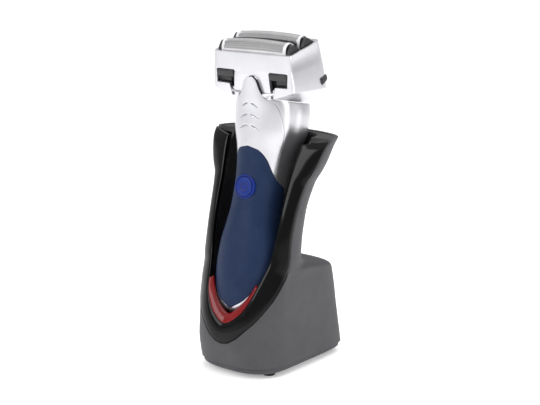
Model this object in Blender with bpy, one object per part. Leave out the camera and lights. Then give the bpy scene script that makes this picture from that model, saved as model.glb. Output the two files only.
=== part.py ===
"""Foil shaver standing in its charging stand.

World frame: X across, the front faces -Y, Z up, origin under the middle of the stand.
The shaver leans back in the stand, so it is drawn in a handle frame (x, depth, along) whose
third axis runs up the handle, and its head in a head frame whose third axis is square to the foils.
"""
import math

import bmesh
import bpy
from mathutils import Matrix, Vector

MM = 0.001

# ---- clearances -------------------------------------------------------------------------
GAP = 0.3 * MM              # between pieces that touch in real life
RUN = 0.45 * MM             # round a piece that slides or turns
DOCK = 1.0 * MM             # between the docked shaver and its cradle

# ---- handle -----------------------------------------------------------------------------
LEAN = math.radians(10.5)   # how far the docked shaver leans back
HANDLE_LENGTH = 130.0 * MM  # bottom of the grip to the top of the neck ridge
HANDLE_WIDTH = 38.4 * MM    # across the swell of the grip
HANDLE_DEPTH = 29.5 * MM    # front to back at the same place
SHELL = 2.0 * MM            # wall of the body mouldings
GRIP_APEX = HANDLE_LENGTH - 38.0 * MM   # highest point of the grip panel
GRIP_TIP = 1.6 * MM                     # lowest point of the grip panel
COVER_LEG = GRIP_APEX - 16.5 * MM       # where the silver cover's legs end beside the grip
NECK_TOP = HANDLE_LENGTH - 11.0 * MM    # top of the rear body
CAP_TOP = 0.2 * MM                      # bottom cap meets the rear body
CAP_FOOT = -3.4 * MM

# ---- head -------------------------------------------------------------------------------
HEAD_TILT = math.radians(15.0)   # the foils look forward by this much
HEAD_FORWARD = -1.8 * MM         # head frame origin ahead of the handle's axis
HEAD_DROP = 2.4 * MM             # and below the top of the neck ridge
HEAD_WIDTH = 57.6 * MM
HEAD_FRONT = 16.2 * MM           # head frame origin to the front of the foil frame, at its foot
HEAD_REAR = 19.6 * MM            # and to its back
FRAME_FOOT = 1.5 * MM            # its level bottom edge, below the head frame origin
FRAME_TOP = 22.0 * MM            # its top rim
FRAME_WALL = 1.4 * MM
RIM_FRONT = 11.3 * MM            # head frame origin to the front of its top rim
RIM_REAR = 17.0 * MM
FOIL_LENGTH = 45.0 * MM
FOIL_WIDTH = 9.0 * MM            # across one foil
FOIL_RISE = 6.0 * MM             # crest above the frame's rim
FOIL_PITCH = 12.4 * MM           # between the two foils
FOIL_SHEET = 0.5 * MM            # foil with its backing strip
FOIL_FLOAT = 1.5 * MM            # how far a foil gives under the hand
SLIT_WIDTH = 1.5 * MM
STROKE = 1.1 * MM                # inner blades either side of the middle
HOLDER_TOP = 18.0 * MM
HOLDER_FOOT = 12.5 * MM
WINDOW_WIDTH = 10.5 * MM
WINDOW_HEIGHT = 7.4 * MM

# ---- drive ------------------------------------------------------------------------------
MOTOR_RADIUS = 8.6 * MM
MOTOR_LENGTH = 25.0 * MM
MOTOR_FOOT = NECK_TOP - 28.0 * MM
MOTOR_SETBACK = 2.0 * MM
SHAFT_RADIUS = 1.0 * MM
CELL_RADIUS = 7.1 * MM
CELL_LENGTH = 50.0 * MM
CELL_FOOT = 12.0 * MM
BOARD_THICK = 1.2 * MM
POST_TOP = 10.2 * MM
BLADE_FOOT = POST_TOP + FOIL_FLOAT + GAP

# ---- controls ---------------------------------------------------------------------------
BUTTON_ALONG = GRIP_APEX - 22.5 * MM
BUTTON_RADIUS = 5.6 * MM
BUTTON_TRAVEL = 0.8 * MM
RING_RADIUS = 6.9 * MM
RELEASE_TRAVEL = 1.5 * MM
RELEASE_LENGTH = 7.4 * MM
RELEASE_HEIGHT = 3.8 * MM
RELEASE_ANGLE = 111.0            # round the head from its front, in degrees
RELEASE_TURN = 19.0              # its face's turn from straight sideways
TRIMMER_WIDTH = 19.0 * MM
TRIMMER_LENGTH = 31.0 * MM
TRIMMER_FOOT = NECK_TOP - 38.0 * MM
TRIMMER_THICK = 4.0 * MM
TRIMMER_TRAVEL = 9.0 * MM

# ---- stand ------------------------------------------------------------------------------
BASE_DEPTH = 81.2 * MM
FOOT_HEIGHT = 2.3 * MM
PLATE_HEIGHT = 3.3 * MM
BLOCK_HEIGHT = 59.6 * MM         # rim of the rear block above the ground
NECK_SHOW = 30.0 * MM            # handle left showing between the stand and the head
SEAT_HEIGHT = 34.2 * MM          # docked shaver's origin above the ground
SEAT_SETBACK = 22.75 * MM        # and behind the stand's datum
STAND_WALL = 2.2 * MM
LINER_WALL = 1.5 * MM
MOUTH_ROOM = 4.1 * MM            # each side of the handle between the bezel's lips
BAND = 7.4 * MM                  # width of the bezel's arms at mid height
BEZEL_THICK = 2.0 * MM
LENS_THICK = 1.6 * MM
CONTACT_RADIUS = 1.1 * MM
CONTACT_PITCH = 9.0 * MM
INLET_WIDTH = 13.0 * MM
INLET_HEIGHT = 9.0 * MM
INLET_RISE = 14.0 * MM           # middle of the power inlet above the ground
FOOT_RADIUS = 3.6 * MM

# ---- what follows from them -------------------------------------------------------------
PLATE_TOP = FOOT_HEIGHT + PLATE_HEIGHT
BASE_FRONT = -BASE_DEPTH / 2
BASE_REAR = BASE_DEPTH / 2
DATUM = BASE_FRONT - 0.8 * MM     # the stand's depths are measured back from this plane
MOUTH_HALF = HANDLE_WIDTH / 2 + MOUTH_ROOM
TOWER_TOP = SEAT_HEIGHT + (HANDLE_LENGTH - NECK_SHOW) * math.cos(LEAN)
SEAT_Y = DATUM + SEAT_SETBACK
HANDLE = Matrix.Translation((0, SEAT_Y, SEAT_HEIGHT)) @ Matrix.Rotation(-LEAN, 4, "X")
HEAD = HANDLE @ Matrix.Translation((0, HEAD_FORWARD, HANDLE_LENGTH - HEAD_DROP)) \
    @ Matrix.Rotation(LEAN + HEAD_TILT, 4, "X")

FOIL_MIDDLE = 1.3 * MM           # slit blade's place in the head frame
AXES = Matrix.Identity(4)


# ---- curves -----------------------------------------------------------------------------
def track(*stations):
    """A smooth line through (place, value) stations that never overshoots them."""
    xs = [place for place, _ in stations]
    ys = [value for _, value in stations]
    slopes = [(ys[i + 1] - ys[i]) / (xs[i + 1] - xs[i]) for i in range(len(xs) - 1)]
    tangents = [slopes[0]]
    for before, after in zip(slopes, slopes[1:]):
        level = before * after <= 0
        tangents.append(0.0 if level else 2 * before * after / (before + after))
    tangents.append(slopes[-1])

    def value(x):
        if x <= xs[0]:
            return ys[0]
        if x >= xs[-1]:
            return ys[-1]
        i = max(k for k in range(len(xs) - 1) if xs[k] <= x)
        h = xs[i + 1] - xs[i]
        t = (x - xs[i]) / h
        rise = ys[i] * (1 + 2 * t) * (1 - t) ** 2 + ys[i + 1] * t * t * (3 - 2 * t)
        return rise + h * (tangents[i] * t * (1 - t) ** 2 - tangents[i + 1] * t * t * (1 - t))

    return value


def power(base, exponent):
    """A signed power, for superellipses, with rounding noise taken for nothing."""
    return math.copysign(abs(base) ** exponent, base) if abs(base) > 1e-9 else 0.0


def oval(angle, half, middle, front, rear, front_power, rear_power):
    """Point of a section at an angle from its front: two superellipse halves back to back."""
    c = math.cos(angle)
    n = front_power if c > 0 else rear_power
    reach = middle - front if c > 0 else rear - middle
    return half * power(math.sin(angle), 2 / n), middle - reach * power(c, 2 / n)


def spread(low, high, count):
    """Evenly spaced values from low to high."""
    return [low + (high - low) * i / (count - 1) for i in range(count)]


# ---- the handle's outline, as shares of its length, width and depth ----------------------
HALF = track((-0.026, 0.45), (0, 0.66), (0.03, 0.80), (0.062, 0.885), (0.10, 0.945), (0.185, 1.0),
             (0.277, 0.975), (0.37, 0.845), (0.46, 0.755), (0.54, 0.745), (0.615, 0.775),
             (0.69, 0.845), (0.79, 1.07), (0.855, 1.10), (0.915, 1.04), (1.0, 0.85))
FRONT = track((-0.026, -0.30), (0, -0.46), (0.03, -0.535), (0.062, -0.563), (0.13, -0.586),
              (0.185, -0.58), (0.277, -0.553), (0.37, -0.515), (0.46, -0.48), (0.54, -0.468),
              (0.615, -0.48), (0.69, -0.508), (0.79, -0.553), (0.855, -0.586), (0.915, -0.637),
              (1.0, -0.71))
MIDDLE = track((0, -0.09), (0.185, -0.088), (0.37, -0.068), (0.46, -0.034), (0.54, 0.017),
               (0.615, 0.068), (0.69, 0.10), (0.79, 0.17), (1.0, 0.17))
REAR = track((-0.026, 0.17), (0, 0.27), (0.03, 0.36), (0.10, 0.41), (0.185, 0.42), (0.37, 0.39),
             (0.46, 0.41), (0.54, 0.475), (0.615, 0.56), (0.69, 0.64), (0.79, 0.70),
             (0.915, 0.68), (1.0, 0.62))


def handle_point(angle, along, inset=0.0):
    """Point of the handle's skin, or inset below it, in the handle frame."""
    share = along / HANDLE_LENGTH
    x, depth = oval(angle, HALF(share) * HANDLE_WIDTH / 2 - inset, MIDDLE(share) * HANDLE_DEPTH,
                    FRONT(share) * HANDLE_DEPTH + inset, REAR(share) * HANDLE_DEPTH - inset,
                    2.1, 2.5)
    return Vector((x, depth, along))


def degrees_track(*stations):
    """A track whose values are given in degrees."""
    return track(*[(place, math.radians(value)) for place, value in stations])


# the grip panel's edge and the seam of the silver cover, as angles round the handle
GRIP_EDGE = degrees_track(
    (GRIP_TIP, 4), (6 * MM, 28), (12 * MM, 45), (19.5 * MM, 62), (26 * MM, 80), (34 * MM, 100),
    (44 * MM, 108), (GRIP_APEX - 28 * MM, 108), (GRIP_APEX - 21.5 * MM, 99),
    (GRIP_APEX - 17.5 * MM, 74), (GRIP_APEX - 12.5 * MM, 57.5), (GRIP_APEX - 6 * MM, 41.5),
    (GRIP_APEX - 1.3 * MM, 22), (GRIP_APEX, 4))
COVER_SEAM = degrees_track(
    (COVER_LEG, 67), (GRIP_APEX, 66), (HANDLE_LENGTH - 27 * MM, 57.3),
    (HANDLE_LENGTH - 19.4 * MM, 50), (HANDLE_LENGTH - 13.7 * MM, 43),
    (HANDLE_LENGTH - 10.7 * MM, 25.5), (HANDLE_LENGTH - 7 * MM, 18), (HANDLE_LENGTH - 2 * MM, 12.5),
    (HANDLE_LENGTH, 5))


# ---- meshes -----------------------------------------------------------------------------
def material(name, colour, roughness, metallic=0.0):
    """One Principled material per piece."""
    made = bpy.data.materials.new(name)
    made.use_nodes = True
    shader = made.node_tree.nodes["Principled BSDF"]
    shader.inputs["Base Color"].default_value = (*colour, 1)
    shader.inputs["Roughness"].default_value = roughness
    shader.inputs["Metallic"].default_value = metallic
    return made


SILVER = ((0.78, 0.78, 0.80), 0.3, 0.6)
NAVY = ((0.02, 0.045, 0.12), 0.5, 0.0)
BLUE = ((0.01, 0.05, 0.4), 0.35, 0.0)
CHARCOAL = ((0.045, 0.045, 0.05), 0.6, 0.0)
BLACK = ((0.01, 0.01, 0.011), 0.15, 0.0)
RED = ((0.45, 0.01, 0.015), 0.15, 0.0)
RUBBER = ((0.02, 0.02, 0.02), 0.8, 0.0)
STEEL = ((0.6, 0.6, 0.62), 0.3, 1.0)
BRASS = ((0.8, 0.6, 0.25), 0.3, 1.0)
GREEN = ((0.02, 0.2, 0.06), 0.5, 0.0)


def finish(name, mesh, look, place=AXES, smooth=40):
    """Make an object from a bmesh: faces outwards, soft shading, its own material."""
    bmesh.ops.remove_doubles(mesh, verts=mesh.verts, dist=1e-7)
    bmesh.ops.recalc_face_normals(mesh, faces=mesh.faces)
    data = bpy.data.meshes.new(name)
    mesh.to_mesh(data)
    mesh.free()
    data.shade_smooth()
    data.set_sharp_from_angle(angle=math.radians(smooth))
    made = bpy.data.objects.new(name, data)
    bpy.context.scene.collection.objects.link(made)
    made.matrix_world = place
    data.materials.append(material(name, *look))
    return made


def loft(name, rings, look, place=AXES, smooth=40):
    """A solid through closed rings of points, capped at both ends."""
    mesh = bmesh.new()
    rows = [[mesh.verts.new(point) for point in ring] for ring in rings]
    count = len(rows[0])
    for low, high in zip(rows, rows[1:]):
        for i in range(count):
            j = (i + 1) % count
            mesh.faces.new((low[i], low[j], high[j], high[i]))
    mesh.faces.new(rows[0][::-1])
    mesh.faces.new(rows[-1])
    return finish(name, mesh, look, place, smooth)


def skin(name, outer, inner, look, place=AXES, wrap=None, joined=None):
    """A solid between two grids of points, such as a bent plate or a tube.

    wrap flags the rows whose first and last columns are one line. joined flags the rows whose
    first column lies on the mirror plane, and the solid is then mirrored across X.
    """
    mesh = bmesh.new()
    out = [[mesh.verts.new(point) for point in row] for row in outer]
    into = [[mesh.verts.new(point) for point in row] for row in inner]
    rows, columns = len(out), len(out[0])
    closed = wrap or [False] * rows
    middle = joined or closed
    for r in range(rows - 1):
        for c in range(columns - 1):
            mesh.faces.new((out[r][c], out[r][c + 1], out[r + 1][c + 1], out[r + 1][c]))
            mesh.faces.new((into[r][c], into[r + 1][c], into[r + 1][c + 1], into[r][c + 1]))
        for c, flags in ((0, middle), (-1, closed)):
            if not (flags[r] and flags[r + 1]):
                mesh.faces.new((out[r][c], out[r + 1][c], into[r + 1][c], into[r][c]))
    for c in range(columns - 1):
        for r in (0, -1):
            mesh.faces.new((out[r][c], out[r][c + 1], into[r][c + 1], into[r][c]))
    if joined:
        copy = bmesh.ops.duplicate(mesh, geom=mesh.verts[:] + mesh.edges[:] + mesh.faces[:])
        for vert in [item for item in copy["geom"] if isinstance(item, bmesh.types.BMVert)]:
            vert.co.x = -vert.co.x
    return finish(name, mesh, look, place)


def block(name, low, high, look, place=AXES, bevel=0.0):
    """A box between two corners, with its edges broken."""
    mesh = bmesh.new()
    bmesh.ops.create_cube(mesh, size=1)
    for vert in mesh.verts:
        for axis in range(3):
            vert.co[axis] = low[axis] if vert.co[axis] < 0 else high[axis]
    if bevel:
        bmesh.ops.bevel(mesh, geom=mesh.edges[:], offset=bevel, segments=1, affect="EDGES")
    return finish(name, mesh, look, place)


def turned(name, profile, look, place=AXES, steps=20, bore=0.0):
    """A lathe piece: (radius, height) points up the outside, solid or with a straight bore."""
    turns = spread(0, math.tau, steps + 1)
    rings = [[Vector((r * math.cos(t), r * math.sin(t), h)) for t in turns] for r, h in profile]
    if not bore:
        return loft(name, [ring[:-1] for ring in rings], look, place)
    walls = [[Vector((bore * math.cos(t), bore * math.sin(t), h)) for t in turns]
             for _, h in profile]
    return skin(name, rings, walls, look, place, wrap=[True] * len(profile))


def extrusion(name, outline, low, high, look, place=AXES):
    """A solid of constant outline (x, y) between two heights."""
    rings = [[Vector((x, y, h)) for x, y in outline] for h in (low, high)]
    return loft(name, rings, look, place)


def cut(piece, cutter, operation="DIFFERENCE"):
    """Take a hidden solid out of a piece, or combine the two another way."""
    cutter.hide_render = True
    cutter.display_type = "WIRE"
    modifier = piece.modifiers.new("cut", "BOOLEAN")
    modifier.operation = operation
    modifier.object = cutter
    return piece


def join(piece, extra):
    """Add a hidden solid to a piece."""
    return cut(piece, extra, "UNION")


def moved(place, x=0.0, y=0.0, z=0.0):
    """A frame shifted along its own axes."""
    return place @ Matrix.Translation((x, y, z))


def facing(place, axis, turn):
    """A frame turned about one of its own axes, by degrees."""
    return place @ Matrix.Rotation(math.radians(turn), 4, axis)


# ---- handle pieces ----------------------------------------------------------------------
# heights at which the grip, the silver cover and the rear body have their sections, so that their
# edges run side by side
ROWS = [GRIP_TIP] + spread(4 * MM, COVER_LEG - GAP, 12) + [COVER_LEG]
ROWS += spread(COVER_LEG + 3.5 * MM, GRIP_APEX - 3.5 * MM, 4) + [GRIP_APEX - 1.3 * MM, GRIP_APEX]
ROWS += [GRIP_APEX + 1.5 * GAP] + spread(GRIP_APEX + 4 * MM, NECK_TOP, 7)
ROWS += spread(NECK_TOP + 2.5 * MM, HANDLE_LENGTH, 4)


def edge_step(angle, along, distance):
    """The angle that lies a distance further round the handle's skin."""
    small = 0.01
    run = (handle_point(angle + small, along) - handle_point(angle, along)).length / small
    return angle + distance / run


def handle_skin(rows, start, stop, columns, inset):
    """A grid of points on the handle between two edges given as functions of the height."""
    return [[handle_point(angle, along, inset) for angle in spread(start(along), stop(along), columns)]
            for along in rows]


def grip():
    rows = [along for along in ROWS if along <= GRIP_APEX]
    grids = [handle_skin(rows, lambda s: -GRIP_EDGE(s), GRIP_EDGE, 11, inset) for inset in (0, SHELL)]
    panel = skin("grip", *grids, NAVY, HANDLE)
    hole = turned("cutter_button", [(RING_RADIUS + GAP, -20 * MM), (RING_RADIUS + GAP, 20 * MM)], NAVY,
                  button_frame(), steps=28)
    return cut(panel, hole)


def cover_start(along):
    """The silver cover's edge beside the grip, or its middle line above the grip."""
    return 0.0 if along > GRIP_APEX else edge_step(GRIP_EDGE(along), along, GAP)


def cover_stop(along):
    """The silver cover's edge beside the rear body."""
    return max(COVER_SEAM(along), cover_start(along) + math.radians(1.5))


def front_cover():
    rows = [along for along in ROWS if along >= COVER_LEG]
    joined = [along > GRIP_APEX for along in rows]
    grids = [handle_skin(rows, cover_start, cover_stop, 6, inset) for inset in (0, SHELL)]
    return skin("front_cover", *grids, SILVER, HANDLE, joined=joined)


def rear_body():
    rows = [CAP_TOP, GRIP_TIP - 2 * GAP] + [along for along in ROWS if along <= NECK_TOP]

    def start(along):
        if along < GRIP_TIP - GAP:
            return 0.0
        beside = GRIP_EDGE(along) if along < COVER_LEG else cover_stop(along)
        return edge_step(beside, along, GAP)

    grids = [handle_skin(rows, start, lambda s: math.tau - start(s), 23, inset) for inset in (0, SHELL)]
    body = skin("rear_body", *grids, SILVER, HANDLE, wrap=[along < GRIP_TIP - GAP for along in rows])
    join(body, trimmer_floor())
    return cut(body, trimmer_room("cutter_trimmer_body"))


def bottom_cap():
    rows = [CAP_FOOT, CAP_FOOT + 0.8 * MM, CAP_TOP - 1.8 * MM, CAP_TOP - GAP]
    insets = [1.6 * MM, 0.4 * MM, 0, 0]
    rings = [[handle_point(angle, along, inset) for angle in spread(0, math.tau, 29)[:-1]]
             for along, inset in zip(rows, insets)]
    cap = loft("bottom_cap", rings, SILVER, HANDLE)
    for side in (-1, 1):
        cut(cap, contact_hole(f"cutter_terminal_{side}", side))
    return cap


def contact_hole(name, side):
    """Clears one charging contact where it passes the cap and the cradle's floor."""
    radius = CONTACT_RADIUS + GAP
    return turned(name, [(radius, -14 * MM), (radius, 9 * MM)], SILVER,
                  moved(HANDLE, side * CONTACT_PITCH / 2, -2 * MM), steps=12)


def terminals():
    for name, side in (("terminal_left", -1), ("terminal_right", 1)):
        turned(name, [(CONTACT_RADIUS, CAP_FOOT + 1.2 * MM), (CONTACT_RADIUS, CAP_TOP + 4 * MM)], BRASS,
               moved(HANDLE, side * CONTACT_PITCH / 2, -2 * MM), steps=12)


def button_frame():
    """On the grip where the button sits, third axis out of the handle's front."""
    front = FRONT(BUTTON_ALONG / HANDLE_LENGTH) * HANDLE_DEPTH
    return facing(moved(HANDLE, 0, front, BUTTON_ALONG), "X", 90)


def controls():
    seat = button_frame()
    deep = SHELL + 0.3 * MM
    ring = [(RING_RADIUS, -deep), (RING_RADIUS, 0), (RING_RADIUS - 0.4 * MM, 0.35 * MM)]
    turned("button_ring", ring, BLUE, seat, steps=28, bore=BUTTON_RADIUS + RUN)
    turned("power_button", [(BUTTON_RADIUS, -1.6 * MM), (BUTTON_RADIUS, 0.3 * MM),
                            (BUTTON_RADIUS - 0.7 * MM, 0.8 * MM)], BLUE, seat, steps=28)
    top = -1.6 * MM - BUTTON_TRAVEL - GAP
    half = 2.8 * MM
    block("button_switch", (-half, -half, top - 0.8 * MM), (half, half, top), RUBBER, seat)
    board_top = top - 0.8 * MM - GAP
    block("control_board", (-5 * MM, -17 * MM, board_top - BOARD_THICK), (5 * MM, 15 * MM, board_top),
          GREEN, seat)


def inner_parts():
    cell = [(CELL_RADIUS - 0.6 * MM, 0), (CELL_RADIUS, 0.6 * MM), (CELL_RADIUS, CELL_LENGTH - 0.6 * MM),
            (CELL_RADIUS - 2 * MM, CELL_LENGTH)]
    turned("battery", cell, GREEN, moved(HANDLE, 0, -0.8 * MM, CELL_FOOT))
    wall, reach = 1.1 * MM, CELL_RADIUS + GAP
    back = reach - 0.8 * MM
    outline = [(-reach - wall, 1 * MM), (-reach, 1 * MM), (-reach, back), (reach, back), (reach, 1 * MM),
               (reach + wall, 1 * MM), (reach + wall, back + wall), (-reach - wall, back + wall)]
    extrusion("chassis", outline, CELL_FOOT - 3 * MM, MOTOR_FOOT - 2 * MM, RUBBER, HANDLE)
    seat = moved(HANDLE, 0, MOTOR_SETBACK, MOTOR_FOOT)
    turned("motor", [(MOTOR_RADIUS, 0), (MOTOR_RADIUS, MOTOR_LENGTH - 1.5 * MM),
                     (MOTOR_RADIUS - 1.5 * MM, MOTOR_LENGTH)], STEEL, seat, bore=SHAFT_RADIUS + RUN)
    shaft_top = HANDLE_LENGTH - 4.5 * MM - MOTOR_FOOT
    cam_foot = shaft_top - 2.0 * MM
    profile = [(0, SHAFT_RADIUS, 2 * MM), (0, SHAFT_RADIUS, cam_foot), (0, 2.2 * MM, cam_foot),
               (0, 2.2 * MM, shaft_top), (STROKE, 0.9 * MM, shaft_top),
               (STROKE, 0.9 * MM, shaft_top + 3.2 * MM)]
    turns = spread(0, math.tau, 17)[:-1]
    rings = [[Vector((off + radius * math.cos(t), radius * math.sin(t), height)) for t in turns]
             for off, radius, height in profile]
    loft("motor_shaft", rings, STEEL, seat)


def trimmer_frame():
    """At the foot of the trimmer, third axis up its slide, second axis out of the back."""
    foot = back_depth(0, TRIMMER_FOOT)
    slope = math.atan2(back_depth(0, TRIMMER_FOOT + TRIMMER_LENGTH) - foot, TRIMMER_LENGTH)
    return moved(HANDLE, 0, foot, TRIMMER_FOOT) @ Matrix.Rotation(-slope, 4, "X")


def trimmer_room(name):
    """The recess the trimmer runs in, as long as its travel needs."""
    half = TRIMMER_WIDTH / 2 + RUN
    return block(name, (-half, -TRIMMER_THICK - RUN, -RUN),
                 (half, 12 * MM, TRIMMER_LENGTH + TRIMMER_TRAVEL + RUN), SILVER, trimmer_frame())


def trimmer_floor():
    """A plate inside the rear body that closes the trimmer's recess off from the motor."""
    half = TRIMMER_WIDTH / 2 + RUN + 1.3 * MM
    low = -TRIMMER_THICK - RUN - 1.2 * MM
    return block("cutter_trimmer_floor", (-half, low, -1.6 * MM),
                 (half, low + 2.4 * MM, NECK_TOP - TRIMMER_FOOT - 1.2 * MM), SILVER, trimmer_frame())


def back_depth(x, along):
    """How far back the handle's skin lies at this place across it."""
    share = along / HANDLE_LENGTH
    middle = MIDDLE(share) * HANDLE_DEPTH
    reach = REAR(share) * HANDLE_DEPTH - middle
    return middle + reach * (1 - (abs(x) / (HALF(share) * HANDLE_WIDTH / 2)) ** 2.5) ** 0.4


def trimmer():
    """The slider follows the handle's back, and its blade looks out of its top."""
    place = trimmer_frame()
    half = TRIMMER_WIDTH / 2
    to_place = place.inverted() @ HANDLE
    rings = []
    for rise in spread(0, TRIMMER_LENGTH - 3 * MM, 8):
        skin_points = [to_place @ Vector((x, back_depth(x, TRIMMER_FOOT + rise), TRIMMER_FOOT + rise))
                       for x in spread(-half, half, 9)]
        top = [Vector((p.x, p.y - 0.1 * MM, rise)) for p in skin_points]
        rings.append(top + [Vector((half, -TRIMMER_THICK, rise)), Vector((-half, -TRIMMER_THICK, rise))])
    loft("trimmer_slider", rings, RUBBER, place)
    block("trimmer_blade", (-half + 1 * MM, -3.4 * MM, TRIMMER_LENGTH - 3 * MM + GAP),
          (half - 1 * MM, -2.0 * MM, TRIMMER_LENGTH), STEEL, place)


# ---- head pieces ------------------------------------------------------------------------
def frame_foot(depth):
    """Height, in the head frame, of the foil frame's bottom edge, level when docked."""
    return (-FRAME_FOOT - depth * math.sin(HEAD_TILT)) / math.cos(HEAD_TILT)


HEAD_POWER = track((0, 5.0), (0.5, 7.0), (1, 9.0))
FRONT_CORNER = 14.0   # the same for the frame's front half, whose corners are tighter


def head_point(angle, share, inset=0.0, drop=0.0):
    """Point on the foil frame's skin, share of the way from its foot to its rim."""
    front = -(HEAD_FRONT + (RIM_FRONT - HEAD_FRONT) * share)
    rear = HEAD_REAR + (RIM_REAR - HEAD_REAR) * share
    half = HEAD_WIDTH / 2 * (1 - 0.018 * (2 * share - 0.7) ** 2)
    x, depth = oval(angle, half - inset, (front + rear) / 2, front + inset, rear - inset,
                    FRONT_CORNER, HEAD_POWER(share))
    foot = frame_foot(depth) - drop
    return Vector((x, depth, foot + (FRAME_TOP - foot) * share))


def head_base():
    """The funnel between the neck and the foil frame, bored for the drive."""
    count = 32
    turns = spread(0, math.tau, count + 1)[:-1]
    neck = [HANDLE @ handle_point(angle, NECK_TOP + GAP) for angle in turns]
    deck = [HEAD @ head_point(angle, 0, inset=0.6 * MM, drop=GAP) for angle in turns]
    rings = []
    for share in (0, 0.3, 0.6, 0.85, 1):
        swell = share ** 1.3
        rings.append([low.lerp(high, swell) + Vector((0, 0, (share - swell) * (high.z - low.z)))
                      for low, high in zip(neck, deck)])
    base = loft("head_base", rings, SILVER)
    cut(base, ridge_room("cutter_ridge_base"))
    bore = turned("cutter_drive", [(4.4 * MM, 0), (4.4 * MM, 40 * MM)], SILVER,
                  moved(HANDLE, 0, MOTOR_SETBACK, NECK_TOP - 8 * MM), steps=20)
    cut(base, bore)
    return cut(base, trimmer_room("cutter_trimmer_base"))


def ridge_room(name):
    """Room for the front cover's ridge, which rises in front of the head."""
    foot, top = NECK_TOP - 6 * MM, HANDLE_LENGTH + 0.8 * MM
    edge = []
    for along in (foot, NECK_TOP + 1 * MM, NECK_TOP + 4 * MM, HANDLE_LENGTH - 2 * MM, HANDLE_LENGTH):
        point = handle_point(edge_step(COVER_SEAM(along), along, 3 * GAP), along)
        edge.append((point.x, along))
    edge.append((edge[-1][0] * 0.4, top))
    outline = edge + [(-x, along) for x, along in reversed(edge)]
    inner = (FRONT(1.0) * HANDLE_DEPTH + SHELL + 5.2 * MM, FRONT(1.0) * HANDLE_DEPTH - 8 * MM)
    rings = [[Vector((x, depth, along)) for x, along in outline] for depth in inner]
    return loft(name, rings, SILVER, HANDLE)


def foil_frame():
    shares = [0, 0.2, 0.45, 0.7, 0.88, 1]
    turns = spread(0, math.tau, 41)
    grids = [[[head_point(angle, share, inset) for angle in turns] for share in shares]
             for inset in (0, FRAME_WALL)]
    frame = skin("foil_frame", *grids, SILVER, HEAD, wrap=[True] * len(shares))
    for side in (-1, 1):
        middle = side * (HEAD_WIDTH / 2 - 10.2 * MM)
        low = (middle - WINDOW_WIDTH / 2, -HEAD_FRONT - 5 * MM, 4.6 * MM)
        high = (middle + WINDOW_WIDTH / 2, -RIM_FRONT + 4 * MM, 4.6 * MM + WINDOW_HEIGHT)
        cut(frame, block(f"cutter_window_{side}", low, high, SILVER, HEAD))
        place = release_frame(side)
        half, tall = RELEASE_LENGTH / 2 + RUN, RELEASE_HEIGHT / 2 + RUN
        cut(frame, block(f"cutter_release_{side}", (-half, -6 * MM, -tall), (half, 4 * MM, tall),
                         SILVER, place))
    return cut(frame, ridge_room("cutter_ridge_frame"))


def release_frame(side):
    """At a release button, second axis out of the frame's rear corner."""
    corner = math.radians(RELEASE_ANGLE)
    spot = head_point(corner, 0)
    return moved(HEAD, side * spot.x, spot.y, 0) \
        @ Matrix.Rotation(-side * math.radians(90 - RELEASE_TURN), 4, "Z")


def release_buttons():
    half, tall = RELEASE_LENGTH / 2, RELEASE_HEIGHT / 2
    for name, side in (("release_button_left", -1), ("release_button_right", 1)):
        block(name, (-half, -3.2 * MM, -tall), (half, 0.3 * MM, tall), RUBBER, release_frame(side),
              bevel=0.6 * MM)


def foil_holder():
    turns = spread(0, math.tau, 33)[:-1]
    inset = FRAME_WALL + GAP
    rings = []
    for height in (HOLDER_FOOT, HOLDER_TOP):
        ring = []
        for angle in turns:
            share = height / FRAME_TOP
            point = head_point(angle, share, inset + 0.5 * MM)
            ring.append(Vector((point.x, point.y, height)))
        rings.append(ring)
    holder = loft("foil_holder", rings, RUBBER, HEAD)
    reach = FOIL_LENGTH / 2 + 0.6 * MM
    for side in (-1, 1):
        middle = FOIL_MIDDLE + side * FOIL_PITCH / 2
        half = FOIL_WIDTH / 2 - 0.3 * MM
        slot = block(f"cutter_slot_{side}", (-reach, middle - half, HOLDER_FOOT - 5 * MM),
                     (reach, middle + half, HOLDER_TOP + 5 * MM), RUBBER, HEAD)
        cut(holder, slot)
        near, far = sorted((side * (reach + 0.2 * MM), side * (reach + 2.2 * MM)))
        join(holder, block(f"cutter_end_{side}", (near, FOIL_MIDDLE - 8.4 * MM, HOLDER_TOP - 4 * MM),
                           (far, FOIL_MIDDLE + 10.4 * MM, FRAME_TOP + 3.2 * MM), RUBBER, HEAD))
    return holder


def arch(across, along, inset, foot):
    """Point on a foil: across runs from 0 to pi over its width, along is the place on its length."""
    half = FOIL_WIDTH / 2 - inset
    sag = 1.2 * MM * (2 * along / FOIL_LENGTH) ** 2
    crest = FRAME_TOP + FOIL_RISE - inset - sag
    rise = (crest - foot) * power(math.sin(across), 2 / 2.3)
    return Vector((along, half * power(math.cos(across), 2 / 2.3), foot + rise))


def foil(name, middle):
    foot = HOLDER_TOP + FOIL_FLOAT + GAP
    grids = [[[arch(across, along, inset, foot) for across in spread(0, math.pi, 13)]
              for along in spread(-FOIL_LENGTH / 2, FOIL_LENGTH / 2, 9)] for inset in (0, FOIL_SHEET)]
    skin(name, *grids, STEEL, moved(HEAD, 0, middle))


def inner_blade(name, middle):
    inset = FOIL_SHEET + 0.35 * MM
    foot = HOLDER_TOP + FOIL_FLOAT + GAP
    reach = FOIL_LENGTH / 2 - STROKE - 0.9 * MM
    rings = []
    for along in spread(-reach, reach, 7):
        top = [arch(across, along, inset, foot) for across in spread(0, math.pi, 11)]
        base = [Vector((along, side * (FOIL_WIDTH / 2 - inset), BLADE_FOOT)) for side in (-1, 1)]
        rings.append(top + base)
    loft(name, rings, STEEL, moved(HEAD, 0, middle))


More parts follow.
